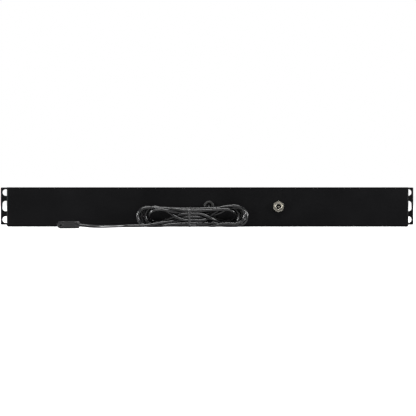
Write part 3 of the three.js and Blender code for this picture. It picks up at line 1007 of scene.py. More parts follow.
def evenly(line: np.ndarray, step: float) -> np.ndarray:
    """Returns points a step apart along a line of points, with its ends kept.

    Args:
        line: points along a line.
        step: the distance between points.

    Returns:
        The points.
    """
    length = np.concatenate([[0], np.cumsum(np.linalg.norm(np.diff(line, axis=0), axis=1))])
    count = max(2, int(round(length[-1] / step)) + 1)
    at = np.linspace(0, length[-1], count)
    return np.column_stack([np.interp(at, length, line[:, i]) for i in range(3)])


@dataclass
class HankRoute:
    """The lead's centreline: out of the grommet, folded back and forth, and along the surface.

    The hank has an end on the inlet's side and one on the probe's side, and a waist in the tie.
    Lengths are in millimetres until the line is returned.
    """

    diameter: float = 3.2
    fold: float = 9.75  # radius at the ends
    inlet_end: float = -44.8
    probe_end: float = 78.2
    tie: float = 19.9
    floor: float = 1.66
    # each end's folds in the order that the lead makes them: depth, lean, inset and lift
    lanes_inlet: tuple[float, ...] = (5.8, 9.0, 12.2, 18.6, 12.0, 15.4)
    leans_inlet: tuple[float, ...] = (0, 0, 0, 0, 40, 0)
    insets_inlet: tuple[float, ...] = (5.0, 0.0, 9.0, 3.0, 13.0, 0.8)
    lifts_inlet: tuple[float, ...] = (0.3, 0.8, 0.0, 2.2, 3.0, 0.2)
    lanes_probe: tuple[float, ...] = (5.8, 9.0, 12.2, 12.2, 15.5)
    leans_probe: tuple[float, ...] = (0, 0, 0, 42, 0)
    insets_probe: tuple[float, ...] = (4.5, 0.0, 8.5, 13.0, 0.3)
    lifts_probe: tuple[float, ...] = (0.0, 0.5, 0.8, 3.0, 0.0)
    # where each run crosses the tie, counted up from the lowest place, behind and in front in turn
    places_rising: tuple[int, ...] = (2, 7, 0, 5, 1)
    places_top: tuple[int, ...] = (10, 6, 3, 8, 9, 4)
    back_layer: float = 11.0
    front_layer: float = 14.2
    pitch: float = 1.76
    waist_inlet: float = 9.0
    waist_probe: float = 1.5
    fan: float = 0.8
    step: float = 1.8
    rounds: int = 420

    def _fold(self, side: int, index: int) -> np.ndarray:
        """Returns the half circle at one end of the hank.

        Args:
            side: -1 at the inlet's end, where the lead rises, and 1 at the probe's, where it falls.
            index: which fold it is.

        Returns:
            The points of the half circle.
        """
        lanes, leans, insets, lifts = (
            (self.lanes_inlet, self.leans_inlet, self.insets_inlet, self.lifts_inlet)
            if side < 0
            else (self.lanes_probe, self.leans_probe, self.insets_probe, self.lifts_probe)
        )
        end = self.inlet_end if side < 0 else self.probe_end
        lean = math.radians(leans[index])
        x = end - side * (self.fold + self.diameter / 2 + insets[index])
        z = self.floor + self.fold * math.cos(lean) + lifts[index]
        angles = np.linspace(-math.pi / 2, math.pi / 2, 18) * -side
        return np.column_stack(
            [
                x + side * self.fold * np.cos(angles),
                lanes[index] + self.fold * math.sin(lean) * np.sin(angles),
                z + self.fold * math.cos(lean) * np.sin(angles),
            ]
        )

    def _slot(self, place: int) -> np.ndarray:
        """Returns the point where a run crosses the tie."""
        layer = self.front_layer if place % 2 else self.back_layer
        return np.array((self.tie, layer, self.floor + 0.5 + self.pitch * place))

    def _run(self, start: np.ndarray, through: np.ndarray, end: np.ndarray) -> np.ndarray:
        """Returns a run that leaves one fold level, crosses the tie and meets the next one level.

        Args:
            start: the end of one fold.
            through: where it crosses the tie.
            end: the start of the next fold.

        Returns:
            The points of the run.
        """
        heading = 1 if end[0] > start[0] else -1
        spread = np.array((self.waist_inlet, 0, 0)), np.array((self.waist_probe, 0, 0))
        near, far = (through - spread[0], through + spread[1])[::heading]
        slope = self.fan * (end - start) / (end[0] - start[0])
        slope[0] = 1
        level = np.array((1.0, 0, 0))
        pieces = []
        for a, b, da, db in ((start, near, level, slope), (far, end, slope, level)):
            t = np.linspace(0, 1, 22)[1:-1, None]
            span = b[0] - a[0]
            pieces.append(
                (2 * t**3 - 3 * t**2 + 1) * a
                + (t**3 - 2 * t**2 + t) * span * da
                + (3 * t**2 - 2 * t**3) * b
                + (t**3 - t**2) * span * db
            )
        return np.vstack([pieces[0], near, far, pieces[1]])

    def _lead(self) -> np.ndarray:
        """Returns the stretch from inside the grommet to the first fold.

        Returns:
            The points.
        """
        x, y, z = LEAD_POINTS[0]
        bend = 2.05 * self.diameter
        turn = np.linspace(0, math.pi / 2, 10)
        first = np.column_stack([np.full(10, x), 0.9 + bend * np.sin(turn), z - bend * (1 - np.cos(turn))])
        rest, (_, level, foot) = turn[1:], first[-1]
        second = np.column_stack(
            [x - bend * (1 - np.cos(rest)), np.full(9, level), foot - bend * np.sin(rest)]
        )
        return np.vstack([first, second])

    def _plan(self) -> tuple[np.ndarray, int, int]:
        """Returns the route before it settles, and how many points at each end stay put.

        Returns:
            The route, and the counts at its start and its end.
        """
        lead = self._lead()
        inlet = [self._fold(-1, i) for i in range(len(self.lanes_inlet))]
        probe = [self._fold(1, i) for i in range(len(self.lanes_probe))]
        approach = np.vstack([lead[-1], (lead[-1] * 0.62 + inlet[0][0] * 0.38), inlet[0][0]])
        route = [lead[:-1], spline(approach, 3)[:-1]]
        for i, falling in enumerate(probe):
            route += [inlet[i], self._run(inlet[i][-1], self._slot(self.places_top[i]), falling[0]), falling]
            route.append(self._run(falling[-1], self._slot(self.places_rising[i]), inlet[i + 1][0]))
        tail = spline(np.array(TAIL_POINTS, float), 3)
        route += [inlet[-1], self._run(inlet[-1][-1], self._slot(self.places_top[-1]), tail[0]), tail]
        line = evenly(np.vstack(route), self.step)
        fixed_tail = int(round(np.linalg.norm(np.diff(tail, axis=0), axis=1).sum() / self.step)) - 4
        return line, int(28 / self.step), fixed_tail

    def _settle(self, line: np.ndarray, head: int, tail: int) -> np.ndarray:
        """Moves the turns apart until they lie side by side, and keeps their bends smooth.

        Args:
            line: the planned route.
            head: how many points at its start stay put.
            tail: how many points at its end stay put.

        Returns:
            The settled route.
        """
        target, pairs = line.copy(), None
        free = np.ones(len(line), bool)
        free[:head] = free[len(line) - tail :] = False
        apart = int(3.2 * self.diameter / self.step)
        for number in range(self.rounds):
            if number % 12 == 0:
                distance = np.linalg.norm(line[:, None] - line[None], axis=2)
                near = np.argwhere(distance < 1.9 * self.diameter)
                pairs = near[near[:, 1] - near[:, 0] > apart]
            delta = line[pairs[:, 0]] - line[pairs[:, 1]]
            distance = np.maximum(np.linalg.norm(delta, axis=1), 1e-6)
            push = 0.5 * np.maximum(0, 1.012 * self.diameter - distance) / distance
            move = np.zeros_like(line)
            count = np.ones(len(line))
            np.add.at(move, pairs[:, 0], delta * push[:, None])
            np.add.at(move, pairs[:, 1], -delta * push[:, None])
            np.add.at(count, pairs[:, 0], push > 0)
            np.add.at(count, pairs[:, 1], push > 0)
            move /= np.sqrt(count)[:, None]
            stiff = np.zeros_like(line)
            stiff[2:-2] = -(line[:-4] - 4 * line[1:-3] + 6 * line[2:-2] - 4 * line[3:-1] + line[4:]) / 16
            move += 0.9 * stiff + 0.004 * (target - line)
            line[free] += 0.7 * move[free]
            inside = free & (line[:, 0] < self.probe_end)
            line[inside, 1] = np.clip(line[inside, 1], 5.4, 18.9)
            line[:, 2] = np.maximum(line[:, 2], self.floor)
        return line

    def line(self) -> np.ndarray:
        """Returns the settled centreline, in metres, in the row frame.

        Returns:
            The centreline.
        """
        settled = self._settle(*self._plan())
        fine = spline(settled, 1.1)
        return (fine + np.array((0, WALL / MM, 0))) * MM


@dataclass
class ProbeLead:
    """The captive lead with its folded hank, the wire tie round it and the probe at its end."""

    route: HankRoute

    def build(self) -> None:
        """Makes the lead, the tie and the probe."""
        line = self.route.line()
        lead = self._cable(line)
        tie = WireTie(self.route, line).build()
        probe = Probe().build()

    def _cable(self, line: np.ndarray) -> bpy.types.Object:
        """Returns the lead as one round curve along a line.

        Args:
            line: the centreline, in metres.

        Returns:
            The curve object.
        """
        curve = bpy.data.curves.new("lead_curve", "CURVE")
        curve.dimensions = "3D"
        curve.bevel_depth = self.route.diameter * MM / 2
        curve.bevel_resolution = 4
        curve.use_fill_caps = True
        path = curve.splines.new("POLY")
        path.points.add(len(line) - 1)
        path.points.foreach_set("co", np.column_stack([line, np.ones(len(line))]).ravel())
        path.use_smooth = True
        lead = bpy.data.objects.new("probe_lead_folded", curve)
        bpy.context.collection.objects.link(lead)
        nodes = ("probe_lead", "probe_lead_hank", "probe_lead_tail")
        return dress(lead, Finish.SHEATH, CASING, nodes)


@dataclass
class WireTie:
    """A plastic-coated wire strip, wound round the waist of the hank and twisted."""

    route: HankRoute
    line: np.ndarray
    width: float = 2.2 * MM
    thickness: float = 0.45 * MM
    core: float = 0.55 * MM
    twist_pitch: float = 1.7 * MM
    twist_length: float = 6.5 * MM

    def _outline(self) -> list[Vector]:
        """Returns the loop that hugs the strands at the waist, a strip's half thickness out.

        Returns:
            The corners of the loop.
        """
        x = self.route.tie * MM
        radius = self.route.diameter * MM / 2
        crossings = []
        for a, b in zip(self.line, self.line[1:]):
            if (a[0] - x) * (b[0] - x) <= 0 and a[0] != b[0]:
                crossings.append(a + (b - a) * (x - a[0]) / (b[0] - a[0]))
        spots = np.array(crossings)[:, 1:]
        middle = spots.mean(axis=0)
        angles = np.linspace(0, math.tau, 73)[:-1]
        reach = radius + self.thickness / 2 + 0.08 * MM
        loop = []
        for angle in angles:
            way = np.array((math.cos(angle), math.sin(angle)))
            loop.append((float(((spots - middle) @ way).max()) + reach, way))
        # the support lines of the hull, met by their neighbours, give its rounded outline
        points = []
        for (h0, w0), (h1, w1) in zip(loop, loop[1:] + loop[:1]):
            meet = np.linalg.solve(np.array((w0, w1)), np.array((h0, h1)))
            y, z = meet + middle
            points.append(Vector((x, y, max(z, self.thickness / 2 + 0.15 * MM))))
        return points

    def build(self) -> list[bpy.types.Object]:
        """Makes the band and its twisted ends, and returns them.

        Returns:
            The band and its twist.
        """
        band = self._band(self._outline())
        ends = self._twist(band)
        dress(band, Finish.TIE, CASING, ["wire_tie"])
        dress(ends, Finish.TIE)
        return [band, ends]

    def _band(self, loop: Sequence[Vector]) -> bpy.types.Object:
        """Returns the strip: a ring of faces set onto the loop, thickened, with a ridge over its wire.

        Args:
            loop: the corners that it follows.

        Returns:
            The band.
        """
        bpy.ops.mesh.primitive_cylinder_add(
            vertices=len(loop), radius=MM, depth=self.width, end_fill_type="NOTHING",
            location=(loop[0].x, 0, 0), rotation=Axis.X.turn,
        )
        band = settle(bpy.context.object, "wire_tie_band")
        with editing(band) as mesh:
            pick_edges(band, along(Axis.X))
            bpy.ops.mesh.subdivide(number_cuts=3)
            ordered = sorted(mesh.verts, key=lambda v: (round(math.atan2(v.co.z, v.co.y), 4), v.co.x))
            middle = sum(loop, Vector()) / len(loop)
            turned = sorted(loop, key=lambda p: math.atan2(p.z - middle.z, p.y - middle.y))
            rows = len(ordered) // len(turned)
            for number, vertex in enumerate(ordered):
                point = turned[number // rows]
                ridge = 0.22 * MM if number % rows == rows // 2 else 0
                out = (point - middle).normalized() * ridge
                vertex.co = Vector((vertex.co.x, point.y + out.y, max(point.z + out.z, 0.3 * MM)))
            bpy.ops.mesh.select_all(action="SELECT")
            bpy.ops.mesh.normals_make_consistent(inside=False)
        modify(band, "SOLIDIFY", thickness=self.thickness, offset=0)
        return soften(band, 0.1 * MM, 2, 50)

    def _twist(self, band: bpy.types.Object) -> bpy.types.Object:
        """Returns the two twisted ends, which point along the hank at the foot of its near side.

        Args:
            band: the band that they belong to.

        Returns:
            The twisted ends.
        """
        near = max(v.co.y for v in band.data.vertices)
        low = 2.4 * MM
        start = Vector((self.route.tie * MM - self.width / 2 + 0.4 * MM, near - 0.3 * MM, low))
        strands = []
        steps = 36
        for phase in (0, math.pi):
            curve = bpy.data.curves.new("tie_end", "CURVE")
            curve.dimensions = "3D"
            curve.bevel_depth = self.core
            curve.bevel_resolution = 3
            curve.use_fill_caps = True
            path = curve.splines.new("POLY")
            path.points.add(steps)
            for i in range(steps + 1):
                along_x = self.twist_length * i / steps
                angle = phase + math.tau * along_x / self.twist_pitch / 2
                radius = self.core * (0.95 if i < steps - 6 else 0.95 + 0.25 * (i - steps + 6) / 2)
                place = start + Vector((-along_x, radius * math.cos(angle), radius * math.sin(angle)))
                place.z -= 0.7 * MM * (i / steps) ** 2
                path.points[i].co = (*place, 1)
            obj = bpy.data.objects.new("tie_end", curve)
            bpy.context.collection.objects.link(obj)
            choose(obj)
            bpy.ops.object.convert(target="MESH")
            strands.append(bpy.context.object)
        return smooth(join(strands, "wire_tie_twist"), 50)


@dataclass
class Probe:
    """The sensor's capsule, with a fixing eye at its free end and a grooved collar."""

    corner: float = 1.5 * MM
    boss_radius: float = 2.35 * MM
    eye_radius: float = 1.35 * MM
    boss_height: float = 0.3 * MM
    groove: float = 0.45 * MM

    @property
    def place(self) -> Matrix:
        """The turn and the place of the probe: the end of the tail, in line with it.

        Returns:
            The transform.
        """
        (x0, y0, _), (x1, y1, _) = TAIL_POINTS[-2:]
        turn = Matrix.Rotation(math.atan2(y1 - y0, x1 - x0), 4, "Z")
        return Matrix.Translation((x1 * MM, WALL + y1 * MM, 0)) @ turn

    def _local_box(self, node: str) -> tuple[Vector, Vector]:
        """Returns a CAD node's box in the probe's own frame.

        Args:
            node: the node's name.

        Returns:
            The low and the high corner.
        """
        back = self.place.inverted()
        spots = [back @ v.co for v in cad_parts[node].data.vertices]
        return (
            Vector(min(p[i] for p in spots) for i in range(3)),
            Vector(max(p[i] for p in spots) for i in range(3)),
        )

    def build(self) -> list[bpy.types.Object]:
        """Makes the capsule and the collar, and returns them.

        Returns:
            The capsule and the collar.
        """
        pieces = [self._capsule(), self._collar()]
        for piece in pieces:
            piece.data.transform(self.place)
        dress(pieces[0], Finish.PROBE, CASING, ["probe_body"])
        dress(pieces[1], Finish.PROBE, CASING, ["probe_collar"])
        return pieces

    def _capsule(self) -> bpy.types.Object:
        """Returns the capsule: round at its eye, crowned along its length.

        Returns:
            The capsule.
        """
        low, high = self._local_box("probe_body")
        skin = self.boss_height
        radius = (high.z - low.z) / 2
        body = block("probe_capsule", (low.x, low.y + skin, low.z), (high.x, high.y - skin, high.z))
        round_edges(body, radius * 0.999, 14, lambda a, b: along(Axis.Y)(a, b) and a.x > (low.x + high.x) / 2)
        eye = (high.x - radius * 1.07, (low.y + high.y) / 2, low.z + radius)
        carve(body, [rod("eye", eye, self.eye_radius, 2 * high.y + 4 * MM, Axis.Y, 32)])
        soften(body, self.corner, 5, 50)
        boss = rod("boss", eye, self.boss_radius, high.y - low.y, Axis.Y, 40)
        carve(boss, [rod("eye", eye, self.eye_radius, 2 * high.y + 4 * MM, Axis.Y, 32)])
        soften(boss, 0.2 * MM, 3, 50)
        return join([body, boss], "probe_capsule")

    def _collar(self) -> bpy.types.Object:
        """Returns the collar, with rings that let the lead bend.

        Returns:
            The collar.
        """
        low, high = self._local_box("probe_collar")
        collar = rounded_block("probe_strain_relief", low, high, Axis.X, 1.6 * MM, 5)
        rings = [
            block("ring", (x, low.y - MM, low.z - MM), (x + self.groove, high.y + MM, high.z + MM))
            for x in (low.x + 0.7 * MM, low.x + 1.85 * MM)
        ]
        keep = 0.35 * MM
        into_body, over_lead = 0.5 * MM, 0.6 * MM
        start = low + Vector((-into_body, keep, keep))
        end = high + Vector((over_lead, -keep, -keep))
        core = rounded_block("core", start, end, Axis.X, 1.4 * MM, 5)
        carve(collar, rings)
        soften(collar, 0.12 * MM, 2, 50)
        smooth(core)
        return join([collar, core], "probe_strain_relief")


# ---- Front panel ---------------------------------------------------------------------------------
@dataclass
class FrontPanel:
    """The thick front panel, with its rack slots, grilles, window and screw holes."""

    corner: float = 1.0 * MM
    edge: float = 0.25 * MM
    rack_inset: float = 8.75 * MM
    rack_pitch: float = 31.75 * MM
    rack_length: float = 14.2 * MM
    rack_width: float = 7.6 * MM
    middle_height: float = 12 * MM
    middle_corner: float = 3.5 * MM
    grille_rows: int = 7
    grille_pitch: float = 4.6 * MM
    grille_width: float = 2.8 * MM
    grille_reach: float = 17.9 * MM
    window: tuple[float, float] = (36.6 * MM, 17.6 * MM)
    window_corner: float = 1.5 * MM
    button_hole: float = 3.3 * MM
    screw_hole: float = 1.75 * MM
    sink: float = 3.05 * MM
    sink_depth: float = 1.4 * MM

    def _opening(self, x: float, z: float, width: float, height: float, radius: float) -> bpy.types.Object:
        """Returns a cutter with rounded corners that goes right through the panel.

        Args:
            x: its middle along X.
            z: its middle along Z.
            width: its width.
            height: its height.
            radius: its corners' radius.

        Returns:
            The cutter.
        """
        low = (x - width / 2, PANEL_LOW.y - MM, z - height / 2)
        high = (x + width / 2, PANEL_HIGH.y + MM, z + height / 2)
        return rounded_block("opening", low, high, Axis.Y, radius * 0.995, 8)

    def _rack_slots(self) -> list[bpy.types.Object]:
        """Returns the cutters of the slots in both ears.

        Returns:
            The cutters.
        """
        cutters = []
        for side in (-1, 1):
            x = side * (PANEL_HIGH.x - self.rack_inset)
            for level in (-0.5, 0.5):
                z = MIDDLE + level * self.rack_pitch
                cutters.append(self._opening(x, z, self.rack_length, self.rack_width, self.rack_width / 2))
            cutters.append(self._opening(x, MIDDLE, self.rack_length, self.middle_height, self.middle_corner))
        return cutters

    def _grilles(self) -> list[bpy.types.Object]:
        """Returns the cutters of the slots in front of the fans, which fill a circle.

        Returns:
            The cutters.
        """
        cutters = []
        for number in range(1, FANS + 1):
            x = centre(f"fan_{number}_frame").x
            for row in range(self.grille_rows):
                rise = (row - (self.grille_rows - 1) / 2) * self.grille_pitch
                length = 2 * math.sqrt(self.grille_reach**2 - rise**2)
                cutters.append(
                    self._opening(x, MIDDLE + rise, length, self.grille_width, self.grille_width / 2)
                )
        return cutters

    def _screw_places(self) -> list[Vector]:
        """Returns the middle of each screw that goes in from the front.

        Returns:
            The places.
        """
        panel = [f"panel_screw_{i}" for i in range(1, 5)]
        fans = [f"fan_{i}_screw_{j}" for i in range(1, FANS + 1) for j in (1, 2)]
        return [centre(node) for node in panel + fans]

    def build(self) -> None:
        """Makes the panel."""
        panel = rounded_block("panel_plate", PANEL_LOW, PANEL_HIGH, Axis.Y, self.corner)
        middle = (PANEL_LOW.y + PANEL_HIGH.y) / 2
        depth = PANEL_HIGH.y - PANEL_LOW.y + 2 * MM
        cutters = self._rack_slots() + self._grilles()
        cutters.append(self._opening(centre("display_window").x, MIDDLE, *self.window, self.window_corner))
        for number in range(1, BUTTONS + 1):
            place = centre(f"button_{number}")
            cutters.append(rod("hole", (place.x, middle, place.z), self.button_hole, depth, sides=48))
        for place in self._screw_places():
            cutters.append(rod("hole", (place.x, middle, place.z), self.screw_hole, depth, sides=24))
        carve(panel, cutters)
        sinks = []
        for place in self._screw_places():
            spot = (place.x, PANEL_LOW.y + self.sink_depth / 2 - 0.01 * MM, place.z)
            sinks.append(
                rod("sink", spot, self.sink, self.sink_depth, sides=24, end_radius=self.screw_hole * 0.98)
            )
        carve(panel, sinks)
        soften(panel, self.edge)
        dress(panel, Finish.PANEL, CASING, ["front_panel"])


# ---- Case ----------------------------------------------------------------------------------------
@dataclass
class Case:
    """The chassis, bent from one sheet with flanges at its open edges, and its flat cover."""

    bend: float = 2.0 * MM
    edge: float = 0.22 * MM
    flange: float = 9 * MM
    lap: float = 0.1 * MM
    vents: int = 4
    vent_pitch: float = 7 * MM
    vent_width: float = 3 * MM
    vent_front: float = 30 * MM
    vent_rear: float = 62 * MM
    hole: float = 1.75 * MM
    sink: float = 3.05 * MM
    inlet_hole: float = 4.3 * MM
    lead_hole: float = 4.2 * MM

    def build(self) -> None:
        """Makes the chassis and the cover."""
        chassis = self._shell()
        self._flanges(chassis)
        self._holes(chassis)
        soften(chassis, self.edge)
        dress(chassis, Finish.CASE, CASING, ["chassis"])
        dress(self._cover(), Finish.CASE, CASING, ["top_cover"])

    def _vents(self, low: float, high: float) -> list[bpy.types.Object]:
        """Returns the cutters of the slots over or under the fans, between two heights.

        Args:
            low: the height that they start at.
            high: the height that they end at.

        Returns:
            The cutters.
        """
        cutters = []
        for number in range(1, FANS + 1):
            for index in range(self.vents):
                shift = (index - (self.vents - 1) / 2) * self.vent_pitch
                x = centre(f"fan_{number}_frame").x + shift
                start = (x - self.vent_width / 2, PANEL_HIGH.y + self.vent_front, low)
                end = (x + self.vent_width / 2, PANEL_HIGH.y + self.vent_rear, high)
                cutters.append(rounded_block("vent", start, end, Axis.Z, self.vent_width / 2 * 0.995, 5))
        return cutters

    @staticmethod
    def _bent(name: str, low: Sequence[float], high: Sequence[float], radius: float) -> bpy.types.Object:
        """Returns a block whose upright rear edges and bottom edges, but the front one, are round.

        Args:
            name: the object's name.
            low: its low corner.
            high: its high corner.
            radius: its bends' radius.

        Returns:
            The object.
        """
        top, back, front = high[2], high[1], low[1]

        def folded(a: Vector, b: Vector) -> bool:
            """Returns whether an edge is one of the sheet's folds."""
            at_back = abs(a.y - back) < 1e-6 and abs(b.y - back) < 1e-6
            at_front = abs(a.y - front) < 1e-6 and abs(b.y - front) < 1e-6
            at_top = abs(a.z - top) < 1e-6 and abs(b.z - top) < 1e-6
            upright = along(Axis.Z)(a, b)
            return not at_front and not at_top and (at_back or not upright)

        return round_edges(block(name, low, high), radius, 7, folded)

    def _shell(self) -> bpy.types.Object:
        """Returns the floor, the sides and the rear wall.

        Returns:
            The shell.
        """
        shell = self._bent("chassis_shell", CHASSIS_LOW, CHASSIS_HIGH, self.bend)
        low = (CHASSIS_LOW.x + SHEET, CHASSIS_LOW.y - 20 * MM, CHASSIS_LOW.z + SHEET)
        high = (CHASSIS_HIGH.x - SHEET, CHASSIS_HIGH.y - SHEET, CHASSIS_HIGH.z + 20 * MM)
        return carve(shell, [self._bent("inside", low, high, self.bend - SHEET)])

    def _flanges(self, shell: bpy.types.Object) -> None:
        """Adds the flanges that take the cover and the panel.

        Args:
            shell: the shell that they are joined to.
        """
        reach, top, front = CHASSIS_HIGH.x - SHEET, CHASSIS_HIGH.z, CHASSIS_LOW.y
        back = WALL - SHEET
        flanges = [
            block(
                "flange",
                (-reach - self.lap, back - self.flange, top - SHEET),
                (reach + self.lap, back + self.lap, top),
            )
        ]
        shelves = []
        for side in (-1, 1):
            ends = (side * (reach + self.lap), side * (reach - 2 * self.flange))
            near = (min(ends), front, SHEET - self.lap)
            far = (max(ends), front + SHEET, top - SHEET / 2)
            flanges.append(block("flange", near, far))
            ends = (side * (reach + self.lap), side * (reach - 3 * self.flange))
            shelves.append(
                block("shelf", (min(ends), front, top - SHEET), (max(ends), front + 2 * self.flange, top))
            )
        carve(shell, flanges, "UNION")
        carve(shell, shelves, "UNION")

    def _holes(self, shell: bpy.types.Object) -> None:
        """Cuts the vents and the holes of the screws, the inlet and the lead.

        Args:
            shell: the shell that is cut.
        """
        cutters = self._vents(-MM, SHEET + MM)
        for number in range(1, 5):
            place = centre(f"cover_screw_{number}")
            spot = (place.x, place.y, CHASSIS_HIGH.z)
            cutters.append(rod("hole", spot, self.hole, 4 * SHEET, Axis.Z, 24))
            place = centre(f"panel_screw_{number}")
            spot = (place.x, CHASSIS_LOW.y, place.z)
            cutters.append(rod("hole", spot, self.hole, 4 * SHEET, sides=24))
        for node, radius in (("power_inlet_nut", self.inlet_hole), ("cable_grommet", self.lead_hole)):
            place = centre(node)
            cutters.append(rod("hole", (place.x, WALL, place.z), radius, 4 * SHEET, sides=48))
        carve(shell, cutters)

    def _cover(self) -> bpy.types.Object:
        """Returns the flat cover with its vents and countersunk holes.

        Returns:
            The cover.
        """
        cover = block("cover_sheet", COVER_LOW, COVER_HIGH)
        back = COVER_HIGH.y
        round_edges(cover, self.bend, 7, lambda a, b: along(Axis.Z)(a, b) and abs(a.y - back) < 1e-6)
        carve(cover, self._vents(COVER_LOW.z - MM, COVER_HIGH.z + MM))
        sinks = []
        for number in range(1, 5):
            place = centre(f"cover_screw_{number}")
            spot = (place.x, place.y, (COVER_LOW.z + COVER_HIGH.z) / 2)
            sinks.append(rod("sink", spot, self.hole, SHEET + 0.1 * MM, Axis.Z, 32, self.sink))
        carve(cover, sinks)
        return soften(cover, self.edge)


# ---- Fasteners -----------------------------------------------------------------------------------
@dataclass
class Fasteners:
    """The countersunk screws of the cover, the panel and the fans, each with a cross recess."""

    radius: float = 1.4 * MM
    core: float = 1.14 * MM
    pitch: float = 0.7 * MM
    head: float = 2.7 * MM
    head_height: float = 1.3 * MM
    rim: float = 0.18 * MM
    recess: tuple[float, float, float] = (3.0 * MM, 0.62 * MM, 0.85 * MM)

    def _screw(self, length: float) -> bpy.types.Object:
        """Returns a screw along +Y with its head's face at the origin.

        Args:
            length: its length, with its head.

        Returns:
            The screw.
        """
        profile = [(0, 0), (self.head - self.rim, 0), (self.head, self.rim), (self.radius, self.head_height)]
        turns = int((length - self.head_height - self.radius) / self.pitch)
        for turn in range(turns):
            y = self.head_height + (turn + 0.35) * self.pitch
            profile += [(self.core, y), (self.radius, y + self.pitch / 2)]
        profile += [(self.core, length - 0.6 * self.radius), (self.core * 0.45, length), (0, length)]
        screw = lathe("screw", profile, Vector(), 24, closed=False)
        wide, thin, depth = self.recess
        for x, z in ((wide, thin), (thin, wide)):
            carve(screw, [block("recess", (-x / 2, -depth, -z / 2), (x / 2, depth, z / 2))])
        return smooth(screw, 35)

    def build(self) -> None:
        """Makes the screws, each family from one model."""
        families = (
            ([f"cover_screw_{i}" for i in range(1, 5)], True),
            ([f"panel_screw_{i}" for i in range(1, 5)], False),
            ([f"fan_{i}_screw_{j}" for i in range(1, FANS + 1) for j in (1, 2)], False),
        )
        for nodes, down in families:
            low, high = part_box(nodes[0])
            model = self._screw(high.z - low.z if down else high.y - low.y)
            for number, node in enumerate(nodes):
                low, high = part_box(node)
                middle = (low + high) / 2
                turn = Matrix.Rotation(math.radians(17 + 53 * number), 4, "Y")
                if down:
                    point = Matrix.Translation((middle.x, middle.y, high.z))
                    place = point @ Matrix.Rotation(-math.pi / 2, 4, "X")
                else:
                    place = Matrix.Translation((middle.x, low.y, middle.z))
                dress(copied(model, f"{node}_cross", place @ turn), Finish.BLACK_SCREW, CASING, [node])
            bpy.data.objects.remove(model)


